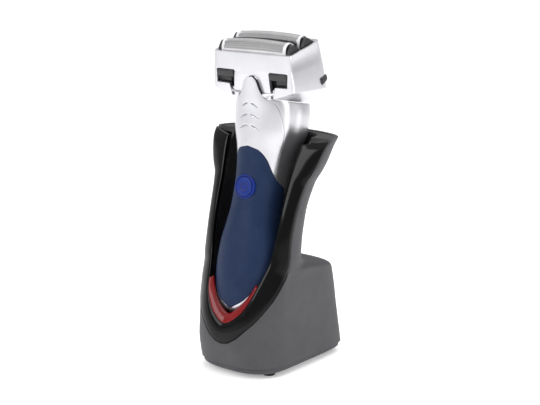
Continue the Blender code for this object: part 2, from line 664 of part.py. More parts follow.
def slit_blade():
    half, reach = SLIT_WIDTH / 2, FOIL_LENGTH / 2 - 1.2 * MM
    foot, top = HOLDER_TOP + FOIL_FLOAT + GAP, FRAME_TOP + 4.4 * MM
    outline = [(-reach, foot), (reach, foot), (reach, top - 1 * MM), (reach * 0.5, top),
               (-reach * 0.5, top), (-reach, top - 1 * MM)]
    rings = [[Vector((x, depth, height)) for x, height in outline] for depth in (-half, half)]
    loft("slit_blade", rings, STEEL, moved(HEAD, 0, FOIL_MIDDLE))


def oscillator():
    """A bar with a post under each blade, and a slot in its middle for the motor's crank pin."""
    place = moved(HEAD, 0, FOIL_MIDDLE)
    reach = FOIL_PITCH / 2
    arm = block("oscillator", (-9 * MM, -reach - 1.5 * MM, 2 * MM), (9 * MM, reach + 1.5 * MM, 4 * MM),
                RUBBER, place)
    join(arm, block("cutter_yoke_body", (-5.5 * MM, -3.5 * MM, -0.4 * MM), (5.5 * MM, 9 * MM, 3 * MM),
                    RUBBER, place))
    for side in (-1, 1):
        low = (-7 * MM, side * reach - 1.2 * MM, 3 * MM)
        high = (7 * MM, side * reach + 1.2 * MM, POST_TOP)
        join(arm, block(f"cutter_post_{side}", low, high, RUBBER, place))
    half = 0.9 * MM + 2 * STROKE + GAP
    cut(arm, block("cutter_yoke", (-half, -2.2 * MM, -4 * MM), (half, 6.4 * MM, 8 * MM), RUBBER, place))


# ---- stand ------------------------------------------------------------------------------
def pocket_back(height):
    """Rearmost place the handle reaches at this height, docked or on its way out."""
    reach = 0.0
    for _ in range(3):
        along = (height - SEAT_HEIGHT + reach * math.sin(LEAN)) / math.cos(LEAN)
        reach = max(REAR(s) for s in spread(0, max(along / HANDLE_LENGTH, 0.02), 24)) * HANDLE_DEPTH
    return SEAT_Y + reach * math.cos(LEAN) + along * math.sin(LEAN) + DOCK


def up(share):
    """Height on the stand, as a share of the way from the base plate to the top of the arms."""
    return PLATE_TOP + share * (TOWER_TOP - PLATE_TOP)


BULK = MOUTH_HALF + BAND
TOWER_HALF = track((0.0, 0.912), (0.19, 0.925), (0.29, 0.941), (0.367, 0.954), (0.476, 0.993),
                   (0.571, 0.982), (0.684, 0.998), (0.80, 1.06), (0.85, 1.158), (0.90, 1.235), (1.0, 1.335))
LIP_SETBACK = track((0.11, 0.8), (0.122, 1.0), (0.145, 1.75), (0.179, 3.4), (0.228, 7.0),
                    (0.295, 12.3), (0.371, 17.45), (0.43, 20.9), (0.476, 22.1), (0.571, 24.1),
                    (0.684, 28.0), (0.80, 33.4), (0.88, 37.2), (0.96, 41.2), (1.0, 45.5))
NOSE_SETBACK = track((0.0, 4.0), (0.05, 2.2), (0.11, 0.8), (0.19, 1.5), (0.29, 2.8), (0.40, 4.0))
CORNER_SETBACK = track((0.0, 29.2), (0.19, 27.2), (0.29, 24.2), (0.367, 22.6), (0.43, 23.2))
RIM = (BLOCK_HEIGHT - PLATE_TOP) / (TOWER_TOP - PLATE_TOP)
BLOCK_BACK = track((0.0, 0.0), (0.19, 4.5), (RIM - 0.054, 9.3), (RIM - 0.027, 11.3),
                   (RIM - 0.011, 14.5), (RIM, 19.5))
FRONT_POWER = track((0.0, 2.8), (0.20, 2.5), (0.33, 2.2), (0.42, 2.0))
BACK_POWER = track((0.0, 12), (RIM - 0.044, 10), (RIM + 0.006, 3.4), (RIM + 0.056, 2.7), (1.0, 2.5))
BACK_TAPER = track((0.0, 0.04), (RIM - 0.034, 0.07), (RIM + 0.056, 0.0))
LIP_JOIN = track((0.27, 0.0), (0.40, 1.0))


def stand_share(height):
    return (height - PLATE_TOP) / (TOWER_TOP - PLATE_TOP)


def stand_back(share, height):
    tower = pocket_back(height) + LINER_WALL + 2 * GAP + STAND_WALL
    if share <= RIM:
        return BASE_REAR - BLOCK_BACK(share) * MM
    step = BASE_REAR - BLOCK_BACK(RIM) * MM - tower
    fall = track((0.0, 1.0), (0.008, 0.5), (0.018, 0.2), (0.036, 0.05), (0.066, 0.0))
    return tower + step * fall(share - RIM)


def stand_point(angle, height, inset=0.0):
    """Point on the stand's outer skin."""
    share = stand_share(height)
    lip = DATUM + LIP_SETBACK(share) * MM + (BEZEL_THICK + GAP) * LIP_JOIN(share)
    middle = DATUM + CORNER_SETBACK(share) * MM if share < 0.43 else lip
    front = DATUM + NOSE_SETBACK(share) * MM
    rear = stand_back(share, height)
    x, y = oval(angle, BULK * TOWER_HALF(share) - inset, middle, front + inset, rear - inset,
                FRONT_POWER(share), BACK_POWER(share))
    if y > middle:
        x *= 1 - BACK_TAPER(share) * ((y - middle) / (rear - middle)) ** 2
    return Vector((x, y, height))


def lip_turn(share):
    """Angle round the stand of the bezel's outer edge: 0 in the middle, a quarter turn at the side."""
    if share >= 0.43:
        return math.pi / 2
    corner = CORNER_SETBACK(share)
    reach = min(max((corner - LIP_SETBACK(share)) / (corner - NOSE_SETBACK(share)), 0.0), 1.0)
    return math.acos(reach ** (FRONT_POWER(share) / 2))


def lip_angle(height):
    """Where the housing's skin stops beside the bezel."""
    share = stand_share(height)
    if share >= 0.43:
        return math.pi / 2
    angle = lip_turn(stand_share(height + GAP))
    if angle <= 0:
        return 0.0
    small = 0.02
    run = (stand_point(angle, height) - stand_point(angle - small, height)).length / small
    return min(angle + (GAP + BEZEL_THICK * LIP_JOIN(share)) / run, math.pi / 2)


def round_angles(start):
    """Angles from one lip round the back to the other, with a fixed number ahead of each side."""
    side = math.pi / 2
    ahead = spread(start, side, 7)[:-1]
    behind = [math.tau - angle for angle in reversed(ahead)]
    return ahead + spread(side, 3 * side, 19) + behind


def stand_housing():
    mouth = up(0.109) - 1.5 * GAP
    shares = spread(0.002, 0.095, 4)
    rows = [up(s) for s in shares] + [mouth, mouth + 0.8 * MM, mouth + 2.2 * MM]
    rows += [up(s) for s in spread(0.15, RIM - 0.039, 7)]
    rows += [up(RIM + s) for s in (-0.019, -0.006, 0.0, 0.006, 0.014, 0.024, 0.036, 0.056, 0.096)]
    rows += [up(s) for s in (0.60, 0.68, 0.76, 0.82, 0.88, 0.94, 1.0)]
    grids = []
    for inset in (0, STAND_WALL):
        grid = []
        for height in rows:
            start = 0.0 if height <= mouth else lip_angle(height)
            grid.append([stand_point(angle, height, inset) for angle in round_angles(start)])
        grids.append(grid)
    housing = skin("stand_housing", *grids, CHARCOAL, wrap=[height <= mouth for height in rows])
    half, tall = INLET_WIDTH / 2 + GAP, INLET_HEIGHT / 2 + GAP
    hole = block("cutter_inlet", (-half, BASE_REAR - 14 * MM, INLET_RISE - tall),
                 (half, BASE_REAR + 5 * MM, INLET_RISE + tall), CHARCOAL)
    return cut(housing, hole)


# the bezel's two edges, from the bottom of its U (0) to the tips of its arms (1)
def arm_track(values):
    """A track with its stations evenly spaced, level at the bottom of the U."""
    last = len(values) - 1
    return track((-1 / last, values[1]), *[(i / last, value) for i, value in enumerate(values)])


OUTER_RISE = arm_track([0.109, 0.179, 0.228, 0.295, 0.371, 0.475, 0.569, 0.683, 0.797, 0.877, 0.942, 0.993])
INNER_RISE = arm_track([0.194, 0.227, 0.271, 0.330, 0.398, 0.470, 0.581, 0.681, 0.80, 0.87, 0.925, 0.972])
INNER_HALF = track(*[(i / 11, value) for i, value in enumerate(
    [0, 0.335, 0.545, 0.70, 0.80, 0.90, 0.975, 1.0, 1.03, 1.065, 1.10, 1.13])])
INNER_SETBACK = arm_track([2.75, 3.7, 5.75, 8.65, 13.25, 17.45, 21.35, 24.8, 30.0, 33.0, 35.65, 38.5])
LENS_RISE = arm_track([0.234, 0.264, 0.297, 0.333, 0.373])
LENS_HALF = track((0, 0), (0.25, 0.27), (0.5, 0.44), (0.75, 0.565), (1, 0.67))
LENS_SETBACK = arm_track([6.45, 7.05, 8.45, 10.6, 12.6])
LENS_REACH = 0.32


def bezel_outer(u):
    share = OUTER_RISE(u)
    x = BULK * TOWER_HALF(share) * math.sin(lip_turn(share)) ** (2 / FRONT_POWER(share))
    return Vector((x, DATUM + LIP_SETBACK(share) * MM, up(share)))


def bezel_inner(u):
    return Vector((MOUTH_HALF * INNER_HALF(u), DATUM + INNER_SETBACK(u) * MM, up(INNER_RISE(u))))


def mirrored(rings):
    """Rings for the right arm, bottom first, made into rings from the left tip to the right tip."""
    left = [[Vector((-p.x, p.y, p.z)) for p in ring] for ring in reversed(rings[1:])]
    return left + rings


def bezel():
    back = Vector((0, BEZEL_THICK, 0))
    rings = []
    for u in spread(0, 1, 25):
        outer, inner = bezel_outer(u), bezel_inner(u)
        share = OUTER_RISE(u)
        angle = lip_turn(share)
        inward = Vector((-math.sin(angle), math.cos(angle), 0)) * BEZEL_THICK
        crown = outer.lerp(inner, 0.5) + Vector((0, -0.5 * MM, 0))
        rings.append([outer, crown, inner, inner + back, outer + inward.lerp(back, LIP_JOIN(share))])
    return loft("bezel", mirrored(rings), BLACK)


def lens():
    rings = []
    for t in spread(0, 1, 11):
        outer = bezel_inner(t * LENS_REACH)
        inner = Vector((MOUTH_HALF * LENS_HALF(t), DATUM + LENS_SETBACK(t) * MM, up(LENS_RISE(t))))
        across = (inner - outer).normalized()
        outer = outer + across * GAP + Vector((0, 0.3 * MM, 0))
        back = Vector((0, LENS_THICK * (1 - 0.35 * t), 0))
        rings.append([outer, inner, inner + back, outer + back])
    return loft("charge_lens", mirrored(rings), RED)


POCKET_HALF = track((0.17, 0.60), (0.204, 0.78), (0.25, 0.86), (0.30, 0.905), (0.335, 0.93), (0.40, 0.96),
                    (0.472, 1.043), (0.58, 1.086), (0.68, 1.075), (0.80, 1.107), (0.87, 1.137), (0.95, 1.206),
                    (1.0, 1.24))
POCKET_LIP = track((0.204, 6.1), (0.2475, 9.0), (0.29, 11.6), (0.335, 14.0), (0.40, 17.9), (0.472, 22.2),
                   (0.581, 25.3), (0.681, 28.9), (0.80, 34.0), (0.87, 37.0), (0.917, 39.8), (0.95, 42.6),
                   (1.0, 47.0))
POCKET_MIDDLE = track((0.17, 20.2), (0.30, 20.0), (0.45, 19.0))
POCKET_NOSE = 6.1


def cradle_point(angle, height, inset=0.0, shrink=1.0):
    """Point on the cradle's outer skin, the moulding that the handle stands in."""
    share = stand_share(height)
    middle = DATUM + (POCKET_MIDDLE(share) if share < 0.45 else POCKET_LIP(share)) * MM
    front = min(DATUM + POCKET_NOSE * MM, middle - 2 * LINER_WALL)
    rear = pocket_back(height) + LINER_WALL
    half = MOUTH_HALF * POCKET_HALF(share) - inset
    x, y = oval(angle, half, middle, front + inset, rear - inset, 2.0, 2.5)
    return Vector((x * shrink, SEAT_Y + (y - SEAT_Y) * shrink, height))


def cradle():
    opening = up(0.204)
    floor = SEAT_HEIGHT - 7.2 * MM
    low = [(floor, 0.2), (floor + 0.2 * MM, 0.5), (floor + 1.0 * MM, 0.78), (floor + 2.4 * MM, 0.92)]
    rows = low + [(opening, 1.0)] + [(up(s), 1.0) for s in spread(0.225, 0.43, 6)]
    rows += [(up(s), 1.0) for s in spread(0.46, 0.965, 8)]
    rows += [(TOWER_TOP - 2.9 * MM, 1.0), (TOWER_TOP - 2.5 * MM, 1.0), (TOWER_TOP - GAP, 1.0)]
    outer, inner = [], []
    for index, (height, shrink) in enumerate(rows):
        share = stand_share(height)
        start = 0.0
        if share > 0.204:
            middle = POCKET_MIDDLE(share)
            cosine = (middle - POCKET_LIP(share)) / (middle - POCKET_NOSE) if share < 0.45 else 0.0
            start = math.acos(min(max(cosine, 0.0), 1.0))
        turns = spread(start, math.tau - start, 25)
        flange = index >= len(rows) - 2
        if flange:
            outer.append([stand_point(angle, height, STAND_WALL + GAP) for angle in turns])
        else:
            outer.append([cradle_point(angle, height, 0.0, shrink) for angle in turns])
        rise = LINER_WALL if shrink < 0.9 else 0.5 * LINER_WALL if shrink < 1 else 0.0
        inner.append([cradle_point(angle, height, LINER_WALL, shrink) + Vector((0, 0, rise))
                      for angle in turns])
    made = skin("cradle", outer, inner, RUBBER, wrap=[height <= opening for height, _ in rows])
    for side in (-1, 1):
        cut(made, contact_hole(f"cutter_contact_{side}", side))
    return made


def base_parts():
    turns = spread(0, math.tau, 45)[:-1]
    rings = []
    for height, inset in ((FOOT_HEIGHT, 2.4 * MM), (FOOT_HEIGHT + 1 * MM, 1.2 * MM), (PLATE_TOP, 0.9 * MM)):
        edge = [stand_point(angle, PLATE_TOP, inset) for angle in turns]
        rings.append([Vector((point.x, point.y, height)) for point in edge])
    plate = loft("base_plate", rings, CHARCOAL)
    front_x, rear_x = BULK * 0.62, BULK * 0.58
    for name, x, y in (("foot_front_left", -front_x, BASE_FRONT + 19 * MM),
                       ("foot_front_right", front_x, BASE_FRONT + 19 * MM),
                       ("foot_rear_left", -rear_x, BASE_REAR - 9.5 * MM),
                       ("foot_rear_right", rear_x, BASE_REAR - 9.5 * MM)):
        foot = [(FOOT_RADIUS - 0.5 * MM, 0), (FOOT_RADIUS, 0.6 * MM), (FOOT_RADIUS, FOOT_HEIGHT - GAP)]
        turned(name, foot, RUBBER, Matrix.Translation((x, y, 0)), steps=16)
    for index, (x, y) in enumerate(((0, BASE_FRONT + 14 * MM), (-BULK * 0.55, BASE_REAR - 22 * MM),
                                    (BULK * 0.55, BASE_REAR - 22 * MM)), start=1):
        place = Matrix.Translation((x, y, FOOT_HEIGHT))
        well = [(2.4 * MM, -1 * MM), (2.4 * MM, 1.8 * MM), (1.5 * MM, 1.8 * MM), (1.5 * MM, 9 * MM)]
        cut(plate, turned(f"cutter_screw_{index}", well, STEEL, place, steps=12))
        turned(f"base_screw_{index}", [(2.1 * MM, 0.2 * MM), (2.1 * MM, 1.5 * MM), (1.2 * MM, 1.5 * MM),
                                       (1.2 * MM, 8 * MM)], STEEL, place, steps=12)


def stand_electrics():
    deck = PLATE_TOP + 1.2 * MM
    block("charger_board", (-BULK * 0.5, -4 * MM, deck),
          (BULK * 0.5, BASE_REAR - 24 * MM, deck + BOARD_THICK), GREEN)
    inlet = block("power_inlet", (-INLET_WIDTH / 2, BASE_REAR - 18 * MM, INLET_RISE - INLET_HEIGHT / 2),
                  (INLET_WIDTH / 2, BASE_REAR - 1.6 * MM, INLET_RISE + INLET_HEIGHT / 2), RUBBER)
    well = block("cutter_socket", (-INLET_WIDTH / 2 + 1.6 * MM, BASE_REAR - 13 * MM, INLET_RISE - 3 * MM),
                 (INLET_WIDTH / 2 - 1.6 * MM, BASE_REAR + 2 * MM, INLET_RISE + 3 * MM), RUBBER)
    cut(inlet, well)
    for name, side in (("inlet_pin_left", -1), ("inlet_pin_right", 1)):
        root = Matrix.Translation((side * 2.6 * MM, BASE_REAR - 13 * MM + GAP, INLET_RISE))
        turned(name, [(0.8 * MM, 0), (0.8 * MM, 7 * MM)], BRASS, facing(root, "X", -90), steps=10)
    for name, side in (("contact_left", -1), ("contact_right", 1)):
        turned(name, [(CONTACT_RADIUS, -13 * MM), (CONTACT_RADIUS, CAP_FOOT + 1.2 * MM - GAP)], BRASS,
               moved(HANDLE, side * CONTACT_PITCH / 2, -2 * MM), steps=12)


def clear_scene():
    for item in list(bpy.data.objects):
        bpy.data.objects.remove(item, do_unlink=True)


def build():
    clear_scene()
    stand_housing()
    cradle()
    bezel()
    lens()
    base_parts()
    stand_electrics()
    rear_body()
    front_cover()
    grip()
    bottom_cap()
    terminals()
    controls()
    inner_parts()
    trimmer()
    head_base()
    foil_frame()
    release_buttons()
    foil_holder()
    foil("front_foil", FOIL_MIDDLE - FOIL_PITCH / 2)
    foil("rear_foil", FOIL_MIDDLE + FOIL_PITCH / 2)
    slit_blade()
    inner_blade("inner_blade_front", FOIL_MIDDLE - FOIL_PITCH / 2)
    inner_blade("inner_blade_rear", FOIL_MIDDLE + FOIL_PITCH / 2)
    oscillator()


build()
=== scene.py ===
import math

import bmesh
import bpy
from mathutils import Matrix, Vector


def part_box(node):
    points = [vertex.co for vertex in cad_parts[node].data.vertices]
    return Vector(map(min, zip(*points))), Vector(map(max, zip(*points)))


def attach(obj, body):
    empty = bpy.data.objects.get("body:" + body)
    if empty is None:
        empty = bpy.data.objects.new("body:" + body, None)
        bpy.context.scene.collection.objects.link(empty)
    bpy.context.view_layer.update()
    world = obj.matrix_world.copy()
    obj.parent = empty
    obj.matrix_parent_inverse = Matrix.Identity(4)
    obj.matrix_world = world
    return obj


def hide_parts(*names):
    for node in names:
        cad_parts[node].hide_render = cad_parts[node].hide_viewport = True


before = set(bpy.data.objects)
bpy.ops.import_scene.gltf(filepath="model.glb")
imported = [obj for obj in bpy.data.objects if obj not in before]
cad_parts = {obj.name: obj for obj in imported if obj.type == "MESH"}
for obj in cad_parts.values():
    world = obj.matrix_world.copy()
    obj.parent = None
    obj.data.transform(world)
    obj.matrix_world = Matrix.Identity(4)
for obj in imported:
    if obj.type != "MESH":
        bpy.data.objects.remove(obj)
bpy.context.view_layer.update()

MM = 0.001


def mm(*values):
    """Millimetres given as metres."""
    return tuple(value * MM for value in values)


# ---- clearances ----
GAP = 0.3 * MM              # between pieces that touch in real life
RUN = 0.45 * MM             # round a piece that slides or turns
DOCK = 1.0 * MM             # between the docked shaver and its cradle

# ---- handle ----
LEAN = math.radians(10.5)   # how far the docked shaver leans back
HANDLE_LENGTH = 130.0 * MM  # bottom of the grip to the top of the neck ridge
HANDLE_WIDTH = 38.4 * MM    # across the swell of the grip
HANDLE_DEPTH = 29.5 * MM    # front to back at the same place
SHELL = 2.0 * MM            # wall of the body mouldings
GRIP_APEX = HANDLE_LENGTH - 38.0 * MM   # highest point of the grip panel
GRIP_TIP = 1.6 * MM                     # lowest point of the grip panel
COVER_LEG = GRIP_APEX - 16.5 * MM       # where the silver cover's legs end beside the grip
NECK_TOP = HANDLE_LENGTH - 11.0 * MM    # top of the rear body
CAP_TOP = 0.2 * MM                      # bottom cap meets the rear body
CAP_FOOT = -3.4 * MM

# ---- head ----
HEAD_TILT = math.radians(15.0)   # the foils look forward by this much
HEAD_FORWARD = -1.8 * MM         # head frame origin ahead of the handle's axis
HEAD_DROP = 2.4 * MM             # and below the top of the neck ridge
HEAD_WIDTH = 57.6 * MM
HEAD_FRONT = 16.2 * MM           # head frame origin to the front of the foil frame, at its foot
HEAD_REAR = 19.6 * MM            # and to its back
FRAME_FOOT = 1.5 * MM            # its level bottom edge, below the head frame origin
FRAME_TOP = 22.0 * MM            # its top rim
FRAME_WALL = 1.4 * MM
RIM_FRONT = 11.3 * MM            # head frame origin to the front of its top rim
RIM_REAR = 17.0 * MM
FOIL_LENGTH = 45.0 * MM
FOIL_WIDTH = 9.0 * MM            # across one foil
FOIL_RISE = 6.0 * MM             # crest above the frame's rim
FOIL_PITCH = 12.4 * MM           # between the two foils
FOIL_FLOAT = 1.5 * MM            # how far a foil gives under the hand
SLIT_WIDTH = 1.5 * MM
HOLDER_TOP = 18.0 * MM
HOLDER_FOOT = 12.5 * MM
MOTOR_SETBACK = 2.0 * MM         # motor's axis behind the handle's

# ---- controls ----
BUTTON_ALONG = GRIP_APEX - 22.5 * MM
BUTTON_RADIUS = 5.6 * MM
RING_RADIUS = 6.9 * MM
RELEASE_LENGTH = 7.4 * MM
RELEASE_HEIGHT = 3.8 * MM
RELEASE_ANGLE = 111.0            # round the head from its front, in degrees
RELEASE_TURN = 19.0              # its face's turn from straight sideways
TRIMMER_WIDTH = 19.0 * MM
TRIMMER_LENGTH = 31.0 * MM
TRIMMER_FOOT = NECK_TOP - 38.0 * MM
TRIMMER_THICK = 4.0 * MM
TRIMMER_TRAVEL = 9.0 * MM

# ---- stand ----
BASE_DEPTH = 81.2 * MM
FOOT_HEIGHT = 2.3 * MM
PLATE_HEIGHT = 3.3 * MM
BLOCK_HEIGHT = 59.6 * MM         # rim of the rear block above the ground
NECK_SHOW = 30.0 * MM            # handle left showing between the stand and the head
SEAT_HEIGHT = 34.2 * MM          # docked shaver's origin above the ground
SEAT_SETBACK = 22.75 * MM        # and behind the stand's datum
STAND_WALL = 2.2 * MM
LINER_WALL = 1.5 * MM
MOUTH_ROOM = 4.1 * MM            # each side of the handle between the bezel's lips
BAND = 7.4 * MM                  # width of the bezel's arms at mid height
BEZEL_THICK = 2.0 * MM
LENS_THICK = 1.6 * MM
CONTACT_RADIUS = 1.1 * MM
CONTACT_PITCH = 9.0 * MM
INLET_WIDTH = 13.0 * MM
INLET_HEIGHT = 9.0 * MM
INLET_RISE = 14.0 * MM           # middle of the power inlet above the ground

# ---- what follows from them ----
PLATE_TOP = FOOT_HEIGHT + PLATE_HEIGHT
BASE_FRONT = -BASE_DEPTH / 2
BASE_REAR = BASE_DEPTH / 2
DATUM = BASE_FRONT - 0.8 * MM     # the stand's depths are measured back from this plane
MOUTH_HALF = HANDLE_WIDTH / 2 + MOUTH_ROOM
TOWER_TOP = SEAT_HEIGHT + (HANDLE_LENGTH - NECK_SHOW) * math.cos(LEAN)
SEAT_Y = DATUM + SEAT_SETBACK
HANDLE = Matrix.Translation((0, SEAT_Y, SEAT_HEIGHT)) @ Matrix.Rotation(-LEAN, 4, "X")
HEAD = HANDLE @ Matrix.Translation((0, HEAD_FORWARD, HANDLE_LENGTH - HEAD_DROP)) \
    @ Matrix.Rotation(LEAN + HEAD_TILT, 4, "X")

SEAM = 0.22 * MM                 # joint that shows between two of the handle's mouldings
FRONT_ROUND, REAR_ROUND = 2.1, 2.5   # powers of the handle's section, ahead and behind
FOIL_ROUND = 2.3                 # power of a foil's arch
FOIL_MIDDLE = 1.3 * MM           # slit blade's place in the head frame
FOIL_FOOT = HOLDER_TOP + FOIL_FLOAT + GAP   # lower edge of the foils and the slit blade
PIN_HOLE = CONTACT_RADIUS + GAP
AXES = Matrix.Identity(4)


# ---- curves ----
def track(*stations):
    """A smooth line through (place, value) stations that never overshoots them."""
    xs = [place for place, _ in stations]
    ys = [value for _, value in stations]
    slopes = [(ys[i + 1] - ys[i]) / (xs[i + 1] - xs[i]) for i in range(len(xs) - 1)]
    tangents = [slopes[0]]
    for before, after in zip(slopes, slopes[1:]):
        level = before * after <= 0
        tangents.append(0.0 if level else 2 * before * after / (before + after))
    tangents.append(slopes[-1])

    def value(x):
        if x <= xs[0]:
            return ys[0]
        if x >= xs[-1]:
            return ys[-1]
        i = max(k for k in range(len(xs) - 1) if xs[k] <= x)
        h = xs[i + 1] - xs[i]
        t = (x - xs[i]) / h
        rise = ys[i] * (1 + 2 * t) * (1 - t) ** 2 + ys[i + 1] * t * t * (3 - 2 * t)
        return rise + h * (tangents[i] * t * (1 - t) ** 2 - tangents[i + 1] * t * t * (1 - t))

    return value


def power(base, exponent):
    """A signed power, for superellipses, with rounding noise taken for nothing."""
    return math.copysign(abs(base) ** exponent, base) if abs(base) > 1e-9 else 0.0


def oval(angle, half, middle, front, rear, front_power, rear_power):
    """Point of a section at an angle from its front: two superellipse halves back to back."""
    c = math.cos(angle)
    n = front_power if c > 0 else rear_power
    reach = middle - front if c > 0 else rear - middle
    return half * power(math.sin(angle), 2 / n), middle - reach * power(c, 2 / n)


def spread(low, high, count):
    """Evenly spaced values from low to high."""
    return [low + (high - low) * i / (count - 1) for i in range(count)]


# ---- the handle's outline, as shares of its length, width and depth ----
HALF = track((-0.026, 0.45), (0, 0.66), (0.03, 0.80), (0.062, 0.885), (0.10, 0.945), (0.185, 1.0),
             (0.277, 0.975), (0.37, 0.845), (0.46, 0.755), (0.54, 0.745), (0.615, 0.775),
             (0.69, 0.845), (0.79, 1.07), (0.855, 1.10), (0.915, 1.04), (1.0, 0.85))
FRONT = track((-0.026, -0.30), (0, -0.46), (0.03, -0.535), (0.062, -0.563), (0.13, -0.586),
              (0.185, -0.58), (0.277, -0.553), (0.37, -0.515), (0.46, -0.48), (0.54, -0.468),
              (0.615, -0.48), (0.69, -0.508), (0.79, -0.553), (0.855, -0.586), (0.915, -0.637),
              (1.0, -0.71))
MIDDLE = track((0, -0.09), (0.185, -0.088), (0.37, -0.068), (0.46, -0.034), (0.54, 0.017),
               (0.615, 0.068), (0.69, 0.10), (0.79, 0.17), (1.0, 0.17))
REAR = track((-0.026, 0.17), (0, 0.27), (0.03, 0.36), (0.10, 0.41), (0.185, 0.42), (0.37, 0.39),
             (0.46, 0.41), (0.54, 0.475), (0.615, 0.56), (0.69, 0.64), (0.79, 0.70),
             (0.915, 0.68), (1.0, 0.62))


def handle_point(angle, along, inset=0.0):
    """Point of the handle's skin, or inset below it, in the handle frame."""
    share = along / HANDLE_LENGTH
    x, depth = oval(angle, HALF(share) * HANDLE_WIDTH / 2 - inset, MIDDLE(share) * HANDLE_DEPTH,
                    FRONT(share) * HANDLE_DEPTH + inset, REAR(share) * HANDLE_DEPTH - inset,
                    FRONT_ROUND, REAR_ROUND)
    return Vector((x, depth, along))


def degrees_track(*stations):
    """A track whose values are given in degrees."""
    return track(*[(place, math.radians(value)) for place, value in stations])


# the grip panel's edge and the seam of the silver cover, as angles round the handle
GRIP_EDGE = degrees_track(
    (GRIP_TIP, 4), (6 * MM, 28), (12 * MM, 45), (19.5 * MM, 62), (26 * MM, 80), (34 * MM, 100),
    (44 * MM, 108), (GRIP_APEX - 28 * MM, 108), (GRIP_APEX - 21.5 * MM, 99),
    (GRIP_APEX - 17.5 * MM, 74), (GRIP_APEX - 12.5 * MM, 57.5), (GRIP_APEX - 6 * MM, 41.5),
    (GRIP_APEX - 1.3 * MM, 22), (GRIP_APEX, 4))
COVER_SEAM = degrees_track(
    (COVER_LEG, 67), (GRIP_APEX, 66), (HANDLE_LENGTH - 27 * MM, 57.3),
    (HANDLE_LENGTH - 19.4 * MM, 50), (HANDLE_LENGTH - 13.7 * MM, 43),
    (HANDLE_LENGTH - 10.7 * MM, 25.5), (HANDLE_LENGTH - 7 * MM, 18), (HANDLE_LENGTH - 2 * MM, 12.5),
    (HANDLE_LENGTH, 5))


def around(count):
    """Angles once round, without the last that closes the ring."""
    return spread(0, math.tau, count + 1)[:-1]


def sided(stem, side):
    """A name that says left (side -1) or right (side 1)."""
    return f"{stem}_left" if side < 0 else f"{stem}_right"


def flank(side, near, far):
    """Lower and higher X of a stretch on one side, given in millimetres from the middle."""
    return sorted((side * near * MM, side * far * MM))


def moved(place, x=0.0, y=0.0, z=0.0):
    """A frame shifted along its own axes."""
    return place @ Matrix.Translation((x, y, z))


def turned(place, axis, degrees):
    """A frame turned about one of its own axes."""
    return place @ Matrix.Rotation(math.radians(degrees), 4, axis)


# ---- places on the handle and the head ----
def edge_step(angle, along, distance):
    """The angle that lies a distance further round the handle's skin."""
    small = 0.01
    run = (handle_point(angle + small, along) - handle_point(angle, along)).length / small
    return angle + distance / run


def button_frame():
    """On the grip where the button sits, third axis out of the handle's front."""
    front = FRONT(BUTTON_ALONG / HANDLE_LENGTH) * HANDLE_DEPTH
    return turned(moved(HANDLE, 0, front, BUTTON_ALONG), "X", 90)


def skin_depth(x, along, edge, power_of_edge):
    """Depth of the handle's skin at this place across it, on the side that edge draws."""
    share = along / HANDLE_LENGTH
    middle = MIDDLE(share) * HANDLE_DEPTH
    across = (abs(x) / (HALF(share) * HANDLE_WIDTH / 2)) ** power_of_edge
    return middle + (edge(share) * HANDLE_DEPTH - middle) * (1 - across) ** (1 / power_of_edge)


def back_depth(x, along):
    return skin_depth(x, along, REAR, REAR_ROUND)


def front_depth(x, along):
    return skin_depth(x, along, FRONT, FRONT_ROUND)


def trimmer_frame():
    """At the foot of the trimmer, third axis up its slide, second axis out of the back."""
    foot = back_depth(0, TRIMMER_FOOT)
    slope = math.atan2(back_depth(0, TRIMMER_FOOT + TRIMMER_LENGTH) - foot, TRIMMER_LENGTH)
    return moved(HANDLE, 0, foot, TRIMMER_FOOT) @ Matrix.Rotation(-slope, 4, "X")


def frame_foot(depth):
    """Height, in the head frame, of the foil frame's bottom edge, level when docked."""
    return (-FRAME_FOOT - depth * math.sin(HEAD_TILT)) / math.cos(HEAD_TILT)


HEAD_POWER = track((0, 5.0), (0.5, 7.0), (1, 9.0))
FRONT_CORNER = 14.0   # the same for the frame's front half, whose corners are tighter


def head_point(angle, share, inset=0.0, drop=0.0):
    """Point on the foil frame's skin, share of the way from its foot to its rim."""
    front = -(HEAD_FRONT + (RIM_FRONT - HEAD_FRONT) * share)
    rear = HEAD_REAR + (RIM_REAR - HEAD_REAR) * share
    half = HEAD_WIDTH / 2 * (1 - 0.018 * (2 * share - 0.7) ** 2)
    x, depth = oval(angle, half - inset, (front + rear) / 2, front + inset, rear - inset,
                    FRONT_CORNER, HEAD_POWER(share))
    foot = frame_foot(depth) - drop
    return Vector((x, depth, foot + (FRAME_TOP - foot) * share))


def release_frame(side):
    """At a release button, second axis out of the frame's rear corner."""
    corner = math.radians(RELEASE_ANGLE)
    spot = head_point(corner, 0)
    return moved(HEAD, side * spot.x, spot.y, 0) \
        @ Matrix.Rotation(-side * math.radians(90 - RELEASE_TURN), 4, "Z")


# depth of the hollow that raises the rear body's shoulder, and of that in each end of the foil frame
HOLLOW = track((COVER_LEG, 0.0), (GRIP_APEX + 4 * MM, 0.7 * MM), (NECK_TOP - 8 * MM, 1.3 * MM),
               (NECK_TOP, 0.8 * MM))
HOLLOW_TURN, HOLLOW_SPREAD = 78, 11   # where it lies round the handle, in degrees, and its width
END_HOLLOW = track((0, 0.0), (0.2, 0.3 * MM), (0.5, 1.0 * MM), (0.78, 1.7 * MM), (1, 0.8 * MM))


# ---- places on the stand ----
def pocket_back(height):
    """Rearmost place the handle reaches at this height, docked or on its way out."""
    reach = 0.0
    for _ in range(3):
        along = (height - SEAT_HEIGHT + reach * math.sin(LEAN)) / math.cos(LEAN)
        reach = max(REAR(s) for s in spread(0, max(along / HANDLE_LENGTH, 0.02), 24)) * HANDLE_DEPTH
    return SEAT_Y + reach * math.cos(LEAN) + along * math.sin(LEAN) + DOCK


